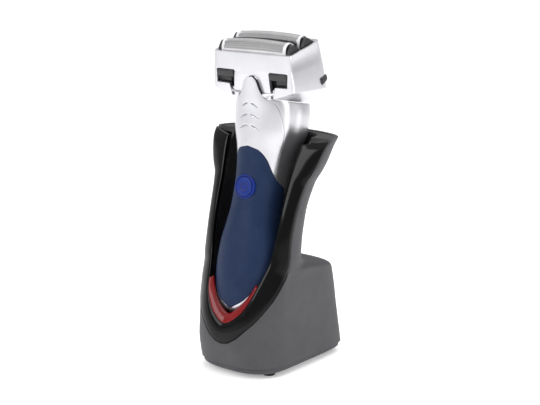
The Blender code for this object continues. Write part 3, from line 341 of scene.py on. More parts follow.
def up(share):
    """Height on the stand, as a share of the way from the base plate to the top of the arms."""
    return PLATE_TOP + share * (TOWER_TOP - PLATE_TOP)


BULK = MOUTH_HALF + BAND
TOWER_HALF = track((0.0, 0.912), (0.19, 0.925), (0.29, 0.941), (0.367, 0.954), (0.476, 0.993),
                   (0.571, 0.982), (0.684, 0.998), (0.80, 1.06), (0.85, 1.158), (0.90, 1.235),
                   (1.0, 1.335))
LIP_SETBACK = track((0.11, 0.8), (0.122, 1.0), (0.145, 1.75), (0.179, 3.4), (0.228, 7.0),
                    (0.295, 12.3), (0.371, 17.45), (0.43, 20.9), (0.476, 22.1), (0.571, 24.1),
                    (0.684, 28.0), (0.80, 33.4), (0.88, 37.2), (0.96, 41.2), (1.0, 45.5))
NOSE_SETBACK = track((0.0, 4.0), (0.05, 2.2), (0.11, 0.8), (0.19, 1.5), (0.29, 2.8), (0.40, 4.0))
CORNER_SETBACK = track((0.0, 29.2), (0.19, 27.2), (0.29, 24.2), (0.367, 22.6), (0.43, 23.2))
RIM = (BLOCK_HEIGHT - PLATE_TOP) / (TOWER_TOP - PLATE_TOP)
BLOCK_BACK = track((0.0, 0.0), (0.19, 4.5), (RIM - 0.054, 9.3), (RIM - 0.027, 11.3),
                   (RIM - 0.011, 14.5), (RIM, 19.5))
FRONT_POWER = track((0.0, 2.8), (0.20, 2.5), (0.33, 2.2), (0.42, 2.0))
BACK_POWER = track((0.0, 12), (RIM - 0.044, 10), (RIM + 0.006, 3.4), (RIM + 0.056, 2.7), (1.0, 2.5))
BACK_TAPER = track((0.0, 0.04), (RIM - 0.034, 0.07), (RIM + 0.056, 0.0))
LIP_JOIN = track((0.27, 0.0), (0.40, 1.0))


def stand_share(height):
    return (height - PLATE_TOP) / (TOWER_TOP - PLATE_TOP)


def stand_back(share, height):
    tower = pocket_back(height) + LINER_WALL + 2 * GAP + STAND_WALL
    if share <= RIM:
        return BASE_REAR - BLOCK_BACK(share) * MM
    step = BASE_REAR - BLOCK_BACK(RIM) * MM - tower
    fall = track((0.0, 1.0), (0.008, 0.5), (0.018, 0.2), (0.036, 0.05), (0.066, 0.0))
    return tower + step * fall(share - RIM)


def stand_point(angle, height, inset=0.0):
    """Point on the stand's outer skin."""
    share = stand_share(height)
    lip = DATUM + LIP_SETBACK(share) * MM + (BEZEL_THICK + GAP) * LIP_JOIN(share)
    middle = DATUM + CORNER_SETBACK(share) * MM if share < 0.43 else lip
    front = DATUM + NOSE_SETBACK(share) * MM
    rear = stand_back(share, height)
    x, y = oval(angle, BULK * TOWER_HALF(share) - inset, middle, front + inset, rear - inset,
                FRONT_POWER(share), BACK_POWER(share))
    if y > middle:
        x *= 1 - BACK_TAPER(share) * ((y - middle) / (rear - middle)) ** 2
    return Vector((x, y, height))


def lip_turn(share):
    """Angle round the stand of the bezel's outer edge: 0 in the middle, a quarter turn at the side."""
    if share >= 0.43:
        return math.pi / 2
    corner = CORNER_SETBACK(share)
    reach = min(max((corner - LIP_SETBACK(share)) / (corner - NOSE_SETBACK(share)), 0.0), 1.0)
    return math.acos(reach ** (FRONT_POWER(share) / 2))


def lip_angle(height):
    """Where the housing's skin stops beside the bezel."""
    share = stand_share(height)
    if share >= 0.43:
        return math.pi / 2
    angle = lip_turn(stand_share(height + GAP))
    if angle <= 0:
        return 0.0
    small = 0.02
    run = (stand_point(angle, height) - stand_point(angle - small, height)).length / small
    return min(angle + (GAP + BEZEL_THICK * LIP_JOIN(share)) / run, math.pi / 2)


# the bezel's two edges, from the bottom of its U (0) to the tips of its arms (1)
def arm_track(values):
    """A track with its stations evenly spaced, level at the bottom of the U."""
    last = len(values) - 1
    return track((-1 / last, values[1]), *[(i / last, value) for i, value in enumerate(values)])


OUTER_RISE = arm_track([0.109, 0.179, 0.228, 0.295, 0.371, 0.475, 0.569, 0.683, 0.797, 0.877, 0.942,
                        0.993])
INNER_RISE = arm_track([0.194, 0.227, 0.271, 0.330, 0.398, 0.470, 0.581, 0.681, 0.80, 0.87, 0.925,
                        0.972])
INNER_HALF = track(*[(i / 11, value) for i, value in enumerate(
    [0, 0.335, 0.545, 0.70, 0.80, 0.90, 0.975, 1.0, 1.03, 1.065, 1.10, 1.13])])
INNER_SETBACK = arm_track([2.75, 3.7, 5.75, 8.65, 13.25, 17.45, 21.35, 24.8, 30.0, 33.0, 35.65, 38.5])
LENS_RISE = arm_track([0.234, 0.264, 0.297, 0.333, 0.373])
LENS_HALF = track((0, 0), (0.25, 0.27), (0.5, 0.44), (0.75, 0.565), (1, 0.67))
LENS_SETBACK = arm_track([6.45, 7.05, 8.45, 10.6, 12.6])
LENS_REACH = 0.32


def bezel_outer(u):
    share = OUTER_RISE(u)
    x = BULK * TOWER_HALF(share) * math.sin(lip_turn(share)) ** (2 / FRONT_POWER(share))
    return Vector((x, DATUM + LIP_SETBACK(share) * MM, up(share)))


def bezel_inner(u):
    return Vector((MOUTH_HALF * INNER_HALF(u), DATUM + INNER_SETBACK(u) * MM, up(INNER_RISE(u))))


def mirrored(rings):
    """Rings for the right arm, bottom first, made into rings from the left tip to the right tip."""
    left = [[Vector((-p.x, p.y, p.z)) for p in ring] for ring in reversed(rings[1:])]
    return left + rings


POCKET_HALF = track((0.17, 0.60), (0.204, 0.78), (0.25, 0.86), (0.30, 0.905), (0.335, 0.93),
                    (0.40, 0.96), (0.472, 1.043), (0.58, 1.086), (0.68, 1.075), (0.80, 1.107),
                    (0.87, 1.137), (0.95, 1.206), (1.0, 1.24))
POCKET_LIP = track((0.204, 6.1), (0.2475, 9.0), (0.29, 11.6), (0.335, 14.0), (0.40, 17.9), (0.472, 22.2),
                   (0.581, 25.3), (0.681, 28.9), (0.80, 34.0), (0.87, 37.0), (0.917, 39.8), (0.95, 42.6),
                   (1.0, 47.0))
POCKET_MIDDLE = track((0.17, 20.2), (0.30, 20.0), (0.45, 19.0))
POCKET_NOSE = 6.1


def cradle_point(angle, height, inset=0.0, shrink=1.0):
    """Point on the cradle's outer skin, the moulding that the handle stands in."""
    share = stand_share(height)
    middle = DATUM + (POCKET_MIDDLE(share) if share < 0.45 else POCKET_LIP(share)) * MM
    front = min(DATUM + POCKET_NOSE * MM, middle - 2 * LINER_WALL)
    rear = pocket_back(height) + LINER_WALL
    half = MOUTH_HALF * POCKET_HALF(share) - inset
    x, y = oval(angle, half, middle, front + inset, rear - inset, 2.0, REAR_ROUND)
    return Vector((x * shrink, SEAT_Y + (y - SEAT_Y) * shrink, height))


SCREWS = [(0, BASE_FRONT + 14 * MM), (-BULK * 0.55, BASE_REAR - 22 * MM),
          (BULK * 0.55, BASE_REAR - 22 * MM)]


# ---- making meshes ----
def settle(name, mesh, place=AXES, crease=38):
    """Make an object of a bmesh, with its place in its mesh, faces outwards and soft shading."""
    bmesh.ops.remove_doubles(mesh, verts=mesh.verts, dist=1e-6)
    mesh.transform(place)
    bmesh.ops.recalc_face_normals(mesh, faces=mesh.faces)
    data = bpy.data.meshes.new(name)
    mesh.to_mesh(data)
    mesh.free()
    data.shade_smooth()
    data.set_sharp_from_angle(angle=math.radians(crease))
    made = bpy.data.objects.new(name, data)
    bpy.context.scene.collection.objects.link(made)
    return made


def loft(name, rings, place=AXES, crease=38):
    """A solid through closed rings of points, capped at both ends."""
    mesh = bmesh.new()
    rows = [[mesh.verts.new(point) for point in ring] for ring in rings]
    count = len(rows[0])
    for low, high in zip(rows, rows[1:]):
        for i in range(count):
            mesh.faces.new((low[i], low[(i + 1) % count], high[(i + 1) % count], high[i]))
    mesh.faces.new(rows[0][::-1])
    mesh.faces.new(rows[-1])
    return settle(name, mesh, place, crease)


def skin(name, outer, inner, place=AXES, wrap=None, joined=None, crease=38):
    """A solid between two grids of points: wrap rows close round, joined rows meet at X = 0."""
    mesh = bmesh.new()
    out = [[mesh.verts.new(point) for point in row] for row in outer]
    into = [[mesh.verts.new(point) for point in row] for row in inner]
    rows, columns = len(out), len(out[0])
    closed = wrap or [False] * rows
    middle = joined or closed
    for r in range(rows - 1):
        for c in range(columns - 1):
            mesh.faces.new((out[r][c], out[r][c + 1], out[r + 1][c + 1], out[r + 1][c]))
            mesh.faces.new((into[r][c], into[r + 1][c], into[r + 1][c + 1], into[r][c + 1]))
        for c, flags in ((0, middle), (-1, closed)):
            if not (flags[r] and flags[r + 1]):
                mesh.faces.new((out[r][c], out[r + 1][c], into[r + 1][c], into[r][c]))
    for c in range(columns - 1):
        for r in (0, -1):
            mesh.faces.new((out[r][c], out[r][c + 1], into[r][c + 1], into[r][c]))
    if joined:
        copy = bmesh.ops.duplicate(mesh, geom=mesh.verts[:] + mesh.edges[:] + mesh.faces[:])
        for vert in [item for item in copy["geom"] if isinstance(item, bmesh.types.BMVert)]:
            vert.co.x = -vert.co.x
    return settle(name, mesh, place, crease)


def activate(piece):
    """Make one piece the only selected and the active one."""
    bpy.ops.object.select_all(action="DESELECT")
    piece.select_set(True)
    bpy.context.view_layer.objects.active = piece


def modify(piece, kind, **settings):
    """Put a modifier on a piece, set it and apply it."""
    modifier = piece.modifiers.new(kind.lower(), kind)
    for key, value in settings.items():
        setattr(modifier, key, value)
    activate(piece)
    bpy.ops.object.modifier_apply(modifier=modifier.name)
    return piece


def soften(piece, width, segments=2, angle=34):
    """Round a piece's sharp edges and shade it soft again."""
    modify(piece, "BEVEL", width=width, segments=segments, limit_method="ANGLE",
           angle_limit=math.radians(angle), miter_outer="MITER_ARC", harden_normals=False)
    piece.data.shade_smooth()
    piece.data.set_sharp_from_angle(angle=math.radians(angle))
    return piece


def cut(piece, tool, operation="DIFFERENCE"):
    """Cut one piece with another, which is used up."""
    modify(piece, "BOOLEAN", operation=operation, object=tool, solver="EXACT")
    bpy.data.objects.remove(tool, do_unlink=True)
    return piece


def begin(name, place, spot, size, kind="cube", sides=32):
    """Add a primitive in a frame, at its size and place, and apply its place to its mesh."""
    bpy.ops.object.select_all(action="DESELECT")
    where = {"location": place @ Vector(spot), "rotation": place.to_euler()}
    if kind == "cube":
        bpy.ops.mesh.primitive_cube_add(size=1, scale=size, **where)
    else:
        bpy.ops.mesh.primitive_cylinder_add(vertices=sides, radius=size[0], depth=size[1], **where)
    piece = bpy.context.object
    piece.name = name
    bpy.ops.object.transform_apply(location=True, rotation=True, scale=True)
    return piece


def pick(piece, test):
    """In edit mode, select the faces whose centre and normal pass a test."""
    bpy.ops.mesh.select_mode(type="FACE")
    mesh = bmesh.from_edit_mesh(piece.data)
    for face in mesh.faces:
        face.select_set(test(face.calc_center_median(), face.normal))
    bmesh.update_edit_mesh(piece.data)


def shape(piece, *steps):
    """Carry out edit-mode steps, each a face test and a list of (mesh operator, settings)."""
    activate(piece)
    bpy.ops.object.mode_set(mode="EDIT")
    for test, actions in steps:
        pick(piece, test)
        for operator, settings in actions:
            getattr(bpy.ops.mesh, operator)(**settings)
    bpy.ops.object.mode_set(mode="OBJECT")
    return piece


def box(name, low, high, place=AXES, bevel=0.3 * MM, segments=2):
    """A block between two corners with rounded edges."""
    low, high = Vector(low), Vector(high)
    piece = begin(name, place, (low + high) / 2, high - low)
    if bevel:
        soften(piece, bevel, segments)
    return piece


def lathe(name, profile, place=AXES, steps=64, bore=0.0, crease=38):
    """A turned piece: (radius, height) points up the outside, solid or with a straight bore."""
    turns = spread(0, math.tau, steps + 1)
    rings = [[Vector((r * math.cos(t), r * math.sin(t), h)) for t in turns] for r, h in profile]
    if not bore:
        return loft(name, [ring[:-1] for ring in rings], place, crease)
    walls = [[Vector((bore * math.cos(t), bore * math.sin(t), h)) for t in turns] for _, h in profile]
    return skin(name, rings, walls, place, wrap=[True] * len(profile), crease=crease)


def edge_profile(radius, *steps):
    """Profile points in millimetres: how far inside the radius, and how high."""
    return [(radius - inside * MM, height * MM) for inside, height in steps]


def carve(piece, name, low, high, place=AXES, bevel=0.0, segments=2):
    """Take a block between two corners out of a piece."""
    return cut(piece, box(name, low, high, place, bevel, segments))


def dress(piece, body, surface, slot, *nodes):
    """Give a piece its finish and its body, and hide the CAD nodes it stands for."""
    piece.data.materials.clear()
    piece.data.materials.append(surface)
    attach(piece, body)
    if nodes:
        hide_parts(*nodes)
    return piece


# ---- finishes ----
def node(tree, kind, settings=(), **values):
    """Add a node, set its properties and its socket values."""
    made = tree.nodes.new(kind)
    for key, value in dict(settings).items():
        setattr(made, key, value)
    for key, value in values.items():
        made.inputs[key.replace("_", " ")].default_value = value
    return made


def finish(name, dark, light, mottle, rough, grain, bump, **sockets):
    """A moulded or metal surface: mottled colour, uneven gloss and a fine relief.

    mottle and grain are pattern sizes in metres, rough the lowest and highest roughness and
    bump the relief's depth in metres.
    """
    made = bpy.data.materials.new(name)
    made.use_nodes = True
    tree = made.node_tree
    shader = tree.nodes["Principled BSDF"]
    for key, value in sockets.items():
        shader.inputs[key.replace("_", " ")].default_value = value
    spot = node(tree, "ShaderNodeTexCoord")
    broad = node(tree, "ShaderNodeTexNoise", Scale=1 / mottle, Detail=5.0, Roughness=0.6)
    tone = node(tree, "ShaderNodeValToRGB")
    tone.color_ramp.elements[0].position = 0.3
    tone.color_ramp.elements[0].color = (*dark, 1)
    tone.color_ramp.elements[1].position = 0.7
    tone.color_ramp.elements[1].color = (*light, 1)
    gloss = node(tree, "ShaderNodeMapRange", To_Min=rough[0], To_Max=rough[1])
    fine = node(tree, "ShaderNodeTexNoise", Scale=1 / grain, Detail=4.0, Roughness=0.55)
    relief = node(tree, "ShaderNodeBump", Strength=1.0, Distance=bump)
    link = tree.links.new
    link(spot.outputs["Object"], broad.inputs["Vector"])
    link(spot.outputs["Object"], fine.inputs["Vector"])
    link(broad.outputs["Fac"], tone.inputs["Fac"])
    link(tone.outputs["Color"], shader.inputs["Base Color"])
    link(fine.outputs["Fac"], gloss.inputs["Value"])
    link(gloss.outputs["Result"], shader.inputs["Roughness"])
    link(fine.outputs["Fac"], relief.inputs["Height"])
    link(relief.outputs["Normal"], shader.inputs["Normal"])
    return made


silver = finish("pearl_silver", (0.585, 0.585, 0.612), (0.645, 0.645, 0.672), 0.018, (0.26, 0.32),
                0.00035, 0.000006, Metallic=0.9, Coat_Weight=0.2, Coat_Roughness=0.10)
navy = finish("navy_soft_touch", (0.010, 0.020, 0.054), (0.014, 0.027, 0.068), 0.009, (0.42, 0.50),
              0.0003, 0.000012, Specular_IOR_Level=0.12)
blue = finish("royal_blue", (0.006, 0.020, 0.15), (0.009, 0.028, 0.19), 0.006, (0.26, 0.34),
              0.0005, 0.000005, Specular_IOR_Level=0.18)
blue_mark = finish("button_mark", (0.002, 0.006, 0.085), (0.003, 0.009, 0.11), 0.004, (0.3, 0.4),
                   0.0005, 0.000005)
gloss_black = finish("gloss_black", (0.001, 0.001, 0.001), (0.002, 0.002, 0.002), 0.02,
                     (0.10, 0.14), 0.0012, 0.000002, Specular_IOR_Level=0.2)
charcoal = finish("charcoal_moulding", (0.050, 0.050, 0.055), (0.062, 0.062, 0.067), 0.011,
                  (0.48, 0.6), 0.00045, 0.00003, Specular_IOR_Level=0.30)
black = finish("satin_black", (0.010, 0.010, 0.012), (0.016, 0.016, 0.018), 0.008, (0.35, 0.5),
               0.0004, 0.000015)
liner_black = finish("liner_black", (0.006, 0.006, 0.007), (0.011, 0.011, 0.012), 0.01,
                     (0.4, 0.55), 0.0005, 0.00002)
red = finish("clear_red", (0.12, 0.003, 0.004), (0.19, 0.005, 0.007), 0.012, (0.10, 0.16), 0.002,
             0.000004, Coat_Weight=0.12, Coat_Roughness=0.05, Specular_IOR_Level=0.25)
rubber = finish("foot_rubber", (0.012, 0.012, 0.012), (0.022, 0.022, 0.021), 0.003, (0.7, 0.85),
                0.0003, 0.00003)
steel = finish("ground_steel", (0.50, 0.50, 0.51), (0.58, 0.58, 0.59), 0.004, (0.28, 0.4), 0.0002,
               0.000008, Metallic=1.0)
foil_steel = finish("foil_steel", (0.50, 0.49, 0.50), (0.60, 0.59, 0.60), 0.005, (0.24, 0.34),
                    0.0002, 0.000004, Metallic=1.0)
strip_white = finish("foil_strip", (0.62, 0.62, 0.64), (0.68, 0.68, 0.70), 0.006, (0.3, 0.4),
                     0.0004, 0.000006, Coat_Weight=0.2)
blade_steel = finish("blade_steel", (0.07, 0.07, 0.075), (0.12, 0.12, 0.125), 0.002, (0.3, 0.45),
                     0.0002, 0.00001, Metallic=1.0)
brass = finish("plated_brass", (0.72, 0.52, 0.22), (0.82, 0.62, 0.28), 0.003, (0.2, 0.35), 0.0003,
               0.000008, Metallic=1.0)
board = finish("solder_mask", (0.008, 0.10, 0.035), (0.015, 0.15, 0.05), 0.002, (0.3, 0.45),
               0.0006, 0.00004, Coat_Weight=0.3)
sleeve = finish("cell_sleeve", (0.05, 0.26, 0.13), (0.07, 0.32, 0.17), 0.006, (0.25, 0.35), 0.001,
                0.00001, Coat_Weight=0.3)


# ---- stand ----
def stand_shell():
    """The outer moulding, finely sampled, with a step round its foot and soft lips."""
    mouth = up(0.109) - 1.5 * GAP
    shares = spread(0.002, 0.09, 8)
    rows = [up(s) for s in shares] + [mouth, mouth + 0.3 * MM, mouth + 0.8 * MM, mouth + 1.6 * MM]
    rows += [up(s) for s in spread(0.135, RIM - 0.035, 30)]
    rows += [up(s) for s in spread(RIM - 0.03, RIM + 0.066, 34)]
    rows += [up(s) for s in spread(RIM + 0.08, 0.985, 40)] + [TOWER_TOP - 0.8 * MM, TOWER_TOP]
    grids = []
    for inset in (0, STAND_WALL):
        grid = []
        for height in rows:
            start = 0.0 if height <= mouth else lip_angle(height)
            side = math.pi / 2
            ahead = spread(start, side, 19)[:-1]
            angles = ahead + spread(side, 3 * side, 61) + [math.tau - a for a in reversed(ahead)]
            grid.append([stand_point(angle, height, inset) for angle in angles])
        grids.append(grid)
    made = skin("stand_shell", *grids, wrap=[height <= mouth for height in rows], crease=30)
    half, tall = INLET_WIDTH / 2 + GAP, INLET_HEIGHT / 2 + GAP
    carve(made, "inlet_cutter", (-half, BASE_REAR - 14 * MM, INLET_RISE - tall),
          (half, BASE_REAR + 5 * MM, INLET_RISE + tall), bevel=1.2 * MM)
    return soften(made, 0.28 * MM, 2, 40)


def gloss_bezel():
    """The U of gloss black, crowned across its width."""
    back = Vector((0, BEZEL_THICK, 0))
    rings = []
    for u in spread(0, 1, 90):
        outer, inner = bezel_outer(u), bezel_inner(u)
        share = OUTER_RISE(u)
        angle = lip_turn(share)
        inward = Vector((-math.sin(angle), math.cos(angle), 0)) * BEZEL_THICK
        ring = []
        for t in spread(0, 1, 13):
            lift = 0.55 * MM * (1 - (2 * t - 1) ** 2)
            edge = 0.35 * MM * (abs(2 * t - 1) ** 8)
            ring.append(outer.lerp(inner, t) + Vector((0, edge - lift, 0)))
        ring += [inner + back, outer + inward.lerp(back, LIP_JOIN(share))]
        rings.append(ring)
    made = loft("gloss_bezel", mirrored(rings), crease=30)
    return soften(made, 0.22 * MM, 2, 45)


def red_lens():
    """The see-through V that lights up while the cell charges."""
    rings = []
    for t in spread(0, 1, 50):
        outer = bezel_inner(t * LENS_REACH)
        inner = Vector((MOUTH_HALF * LENS_HALF(t), DATUM + LENS_SETBACK(t) * MM, up(LENS_RISE(t))))
        across = (inner - outer).normalized()
        outer = outer + across * GAP + Vector(mm(0, 0.1, 0))
        back = Vector((0, LENS_THICK * (1 - 0.35 * t), 0))
        face = []
        for k in spread(0, 1, 9):
            crown = 0.5 * MM * (1 - (2 * k - 1) ** 2)
            face.append(outer.lerp(inner, k) - Vector((0, crown, 0)))
        rings.append(face + [inner + back, outer + back])
    made = loft("red_lens", mirrored(rings), crease=30)
    return soften(made, 0.2 * MM, 2, 45)


def pin_room(side, steps):
    """The hole of one charging pin, through the cradle's floor and the handle's end cap."""
    return lathe("pin_cutter", [(PIN_HOLE, -14 * MM), (PIN_HOLE, 9 * MM)],
                 moved(HANDLE, side * CONTACT_PITCH / 2, -2 * MM), steps=steps)


def liner():
    """The dark moulding inside the stand, with the flange that closes the tops of the arms."""
    opening = up(0.204)
    floor = SEAT_HEIGHT - 7.2 * MM
    low = [(floor, 0.2), (floor + 0.2 * MM, 0.5), (floor + 1.0 * MM, 0.78), (floor + 2.4 * MM, 0.92)]
    rows = low + [(opening, 1.0)] + [(up(s), 1.0) for s in spread(0.21, 0.45, 22)]
    rows += [(up(s), 1.0) for s in spread(0.46, 0.965, 34)]
    rows += [(TOWER_TOP - 2.9 * MM, 1.0), (TOWER_TOP - 2.5 * MM, 1.0), (TOWER_TOP - GAP, 1.0)]
    outer, inner = [], []
    for index, (height, shrink) in enumerate(rows):
        share = stand_share(height)
        start = 0.0
        if share > 0.204:
            middle = POCKET_MIDDLE(share)
            cosine = (middle - POCKET_LIP(share)) / (middle - POCKET_NOSE) if share < 0.45 else 0.0
            start = math.acos(min(max(cosine, 0.0), 1.0))
        turns = spread(start, math.tau - start, 73)
        if index >= len(rows) - 2:
            outer.append([stand_point(angle, height, STAND_WALL + GAP) for angle in turns])
        else:
            outer.append([cradle_point(angle, height, 0.0, shrink) for angle in turns])
        rise = LINER_WALL if shrink < 0.9 else 0.5 * LINER_WALL if shrink < 1 else 0.0
        inner.append([cradle_point(angle, height, LINER_WALL, shrink) + Vector((0, 0, rise))
                      for angle in turns])
    made = skin("liner", outer, inner, wrap=[height <= opening for height, _ in rows], crease=30)
    for side in (-1, 1):
        cut(made, pin_room(side, 20))
    return soften(made, 0.25 * MM, 2, 45)


def foot_plate():
    """The underside, with a step up to its edge and three screw wells."""
    turns = around(120)
    rings = []
    for height, inset in ((FOOT_HEIGHT, 2.6 * MM), (FOOT_HEIGHT + 0.15 * MM, 2.2 * MM),
                          (FOOT_HEIGHT + 1.0 * MM, 1.1 * MM), (PLATE_TOP - 0.3 * MM, 0.9 * MM),
                          (PLATE_TOP, 1.1 * MM)):
        edge = [stand_point(angle, PLATE_TOP, inset) for angle in turns]
        rings.append([Vector((point.x, point.y, height)) for point in edge])
    made = loft("foot_plate", rings, crease=30)
    for x, y in SCREWS:
        place = Matrix.Translation((x, y, FOOT_HEIGHT))
        well = [mm(2.4, -1), mm(2.4, 1.8), mm(1.5, 1.8), mm(1.5, 9)]
        cut(made, lathe("well_cutter", well, place, steps=32))
    return made


def screw_head(index):
    """A pan-head screw with a cross recess, seen from below."""
    low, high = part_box(f"base_screw_{index}")
    spot = ((low.x + high.x) / 2, (low.y + high.y) / 2, low.z + 0.65 * MM)
    made = begin(f"plate_screw_{index}", AXES, spot, mm(2.1, 1.3), "cylinder", 32)
    top = low.z + 1.2 * MM
    rise = (0, 0, high.z - top - 0.1 * MM)
    shape(made, (lambda c, n: n.z > 0.9 and c.z > top, [
        ("inset", {"thickness": 0.9 * MM}),
        ("extrude_region_move", {"TRANSFORM_OT_translate": {"value": rise}})]))
    soften(made, 0.2 * MM, 2, 60)
    for turn in (0, 90):
        slot_place = turned(Matrix.Translation((spot[0], spot[1], low.z)), "Z", turn)
        carve(made, "slot_cutter", mm(-1.2, -0.22, -1), mm(1.2, 0.22, 0.7), slot_place)
    return made


def rubber_foot(name, node_name):
    """A domed rubber button foot with a ring groove round it."""
    low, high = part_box(node_name)
    radius, tall = (high.x - low.x) / 2, high.z - low.z
    profile = edge_profile(radius, (0.9, 0), (0.35, 0.12), (0.08, 0.4), (0, 0.7), (0, 1.1),
                           (0.25, 1.25), (0.25, 1.45), (0, 1.6)) + [(radius, tall)]
    place = Matrix.Translation(((low.x + high.x) / 2, (low.y + high.y) / 2, low.z))
    return lathe(name, profile, place, steps=48)


def inlet_block():
    """The power socket: a block with a deep rounded mouth and a stepped face."""
    low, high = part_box("power_inlet")
    made = box("inlet_socket", low, high, bevel=0.7 * MM, segments=3)
    middle = (low.z + high.z) / 2
    carve(made, "mouth_cutter", (low.x + 1.6 * MM, BASE_REAR - 13 * MM, middle - 3 * MM),
          (high.x - 1.6 * MM, high.y + 2 * MM, middle + 3 * MM), bevel=0.9 * MM, segments=3)
    return soften(made, 0.15 * MM, 2, 50)


# ---- handle ----
SEAM_ROWS = spread(GRIP_TIP, 8 * MM, 12)[:-1] + spread(8 * MM, COVER_LEG - GAP, 46)
SEAM_ROWS += spread(COVER_LEG, GRIP_APEX - 3 * MM, 14)
SEAM_ROWS += [GRIP_APEX - d * MM for d in (2.4, 1.8, 1.3, 0.9, 0.5, 0.2, 0.0)]
SEAM_ROWS += [GRIP_APEX + 1.5 * GAP] + spread(GRIP_APEX + 1.5 * MM, NECK_TOP, 24)
SEAM_ROWS += spread(NECK_TOP + 0.5 * MM, HANDLE_LENGTH, 20)


def handle_skin(rows, start, stop, columns, inset):
    """A grid of points on the handle between two edges given as functions of the height."""
    return [[handle_point(angle, along, inset) for angle in spread(start(along), stop(along), columns)]
            for along in rows]


def grip_skin():
    rows = [along for along in SEAM_ROWS if along <= GRIP_APEX]
    grids = [handle_skin(rows, lambda s: -GRIP_EDGE(s), GRIP_EDGE, 45, inset)
             for inset in (-0.12 * MM, SHELL)]
    made = skin("grip_skin", *grids, place=HANDLE, crease=30)
    bore = RING_RADIUS + 0.12 * MM
    cut(made, lathe("button_cutter", [(bore, -20 * MM), (bore, 20 * MM)], button_frame()))
    return soften(made, 0.3 * MM, 3, 45)


def cover_start(along):
    """The silver cover's edge beside the grip, or its middle line above the grip."""
    return 0.0 if along > GRIP_APEX else edge_step(GRIP_EDGE(along), along, SEAM)


def cover_stop(along):
    """The silver cover's edge beside the rear body."""
    return max(COVER_SEAM(along), cover_start(along) + math.radians(1.5))


# engraved strokes: upper end, lower end and how far out the lower end lies, in millimetres
STROKES = ((115.6, 113.7, 5.4), (109.6, 107.4, 6.6), (103.6, 101.5, 6.8))


def stroke_groove(side, first, last):
    """A cutter that follows the cover between two (x, along) points, deepest in its middle."""
    rings = []
    for t in spread(0, 1, 15):
        x = side * (first[0] + (last[0] - first[0]) * t)
        along = first[1] + (last[1] - first[1]) * t + 0.35 * MM * math.sin(math.pi * t)
        centre = Vector((x, front_depth(x, along), along))
        reach = 0.10 * MM + 0.42 * MM * math.sin(math.pi * t) ** 0.6
        rings.append([centre + Vector((0, 2.2 * reach * math.cos(a), reach * math.sin(a)))
                      for a in around(8)])
    return loft("stroke_cutter", rings, HANDLE)


def silver_cover():
    """The silver front, with the three pairs of fine strokes engraved in it."""
    rows = [along for along in SEAM_ROWS if along >= COVER_LEG]
    joined = [along > GRIP_APEX for along in rows]
    grids = [handle_skin(rows, cover_start, cover_stop, 26, inset) for inset in (0, SHELL)]
    made = skin("silver_cover", *grids, place=HANDLE, joined=joined, crease=30)
    for high, low, reach in STROKES:
        for side in (-1, 1):
            cut(made, stroke_groove(side, mm(0.9, high), mm(reach, low)))
    return soften(made, 0.18 * MM, 2, 50)


def silver_back():
    """The rear body, with a raised shoulder down each side and the recess of the trimmer."""
    rows = [CAP_TOP, GRIP_TIP - 2 * GAP] + [along for along in SEAM_ROWS if along <= NECK_TOP]

    def start(along):
        if along < GRIP_TIP - GAP:
            return 0.0
        beside = GRIP_EDGE(along) if along < COVER_LEG else cover_stop(along)
        return edge_step(beside, along, SEAM)

    grids = []
    for inset in (0, SHELL):
        grid = []
        for along in rows:
            line = []
            for angle in spread(start(along), math.tau - start(along), 97):
                point = handle_point(angle, along, inset)
                if not inset:
                    turn = math.degrees(min(angle, math.tau - angle))
                    hollow = HOLLOW(along) * math.exp(-((turn - HOLLOW_TURN) / HOLLOW_SPREAD) ** 2)
                    point.x -= math.copysign(hollow, point.x)
                line.append(point)
            grid.append(line)
        grids.append(grid)
    made = skin("silver_back", *grids, place=HANDLE, wrap=[along < GRIP_TIP - GAP for along in rows],
                crease=30)
    half = TRIMMER_WIDTH / 2 + RUN
    low = -TRIMMER_THICK - RUN
    place = trimmer_frame()
    cut(made, box("floor", (-half - 1.3 * MM, low - 1.2 * MM, -1.6 * MM),
                  (half + 1.3 * MM, low + 1.2 * MM, NECK_TOP - TRIMMER_FOOT - 1.2 * MM), place, bevel=0),
        "UNION")
    cut(made, trimmer_room())
    return soften(made, 0.18 * MM, 2, 50)


def trimmer_room():
    half = TRIMMER_WIDTH / 2 + RUN
    return box("room_cutter", (-half, -TRIMMER_THICK - RUN, -RUN),
               (half, 12 * MM, TRIMMER_LENGTH + TRIMMER_TRAVEL + RUN), trimmer_frame(), bevel=0)


def foot_cap():
    """The end cap under the grip, with two holes for the charging pins."""
    rows = ((CAP_FOOT, 1.9), (CAP_FOOT + 0.25 * MM, 1.2), (CAP_FOOT + 0.8 * MM, 0.4),
            (CAP_TOP - 1.8 * MM, 0.0), (CAP_TOP - GAP, 0.0))
    rings = [[handle_point(angle, along, inset * MM) for angle in around(96)]
             for along, inset in rows]
    made = loft("foot_cap", rings, HANDLE, crease=45)
    for side in (-1, 1):
        cut(made, pin_room(side, 24))
    return made


def button_cap():
    """The round power button: a shallow dish inside a rolled edge."""
    profile = edge_profile(BUTTON_RADIUS, (0, -1.6), (0, 0.35), (0.12, 0.62), (0.45, 0.8),
                           (0.9, 0.76))
    dish, rim = 0.42, 4.7   # millimetres: height of the dish's middle, radius of its rim
    profile += [(r * MM, (dish + 0.3 * (r / rim) ** 2) * MM) for r in (4.2, 3.4, 2.4, 1.2, 0.3)]
    return lathe("button_cap", profile, button_frame(), steps=72, crease=50)


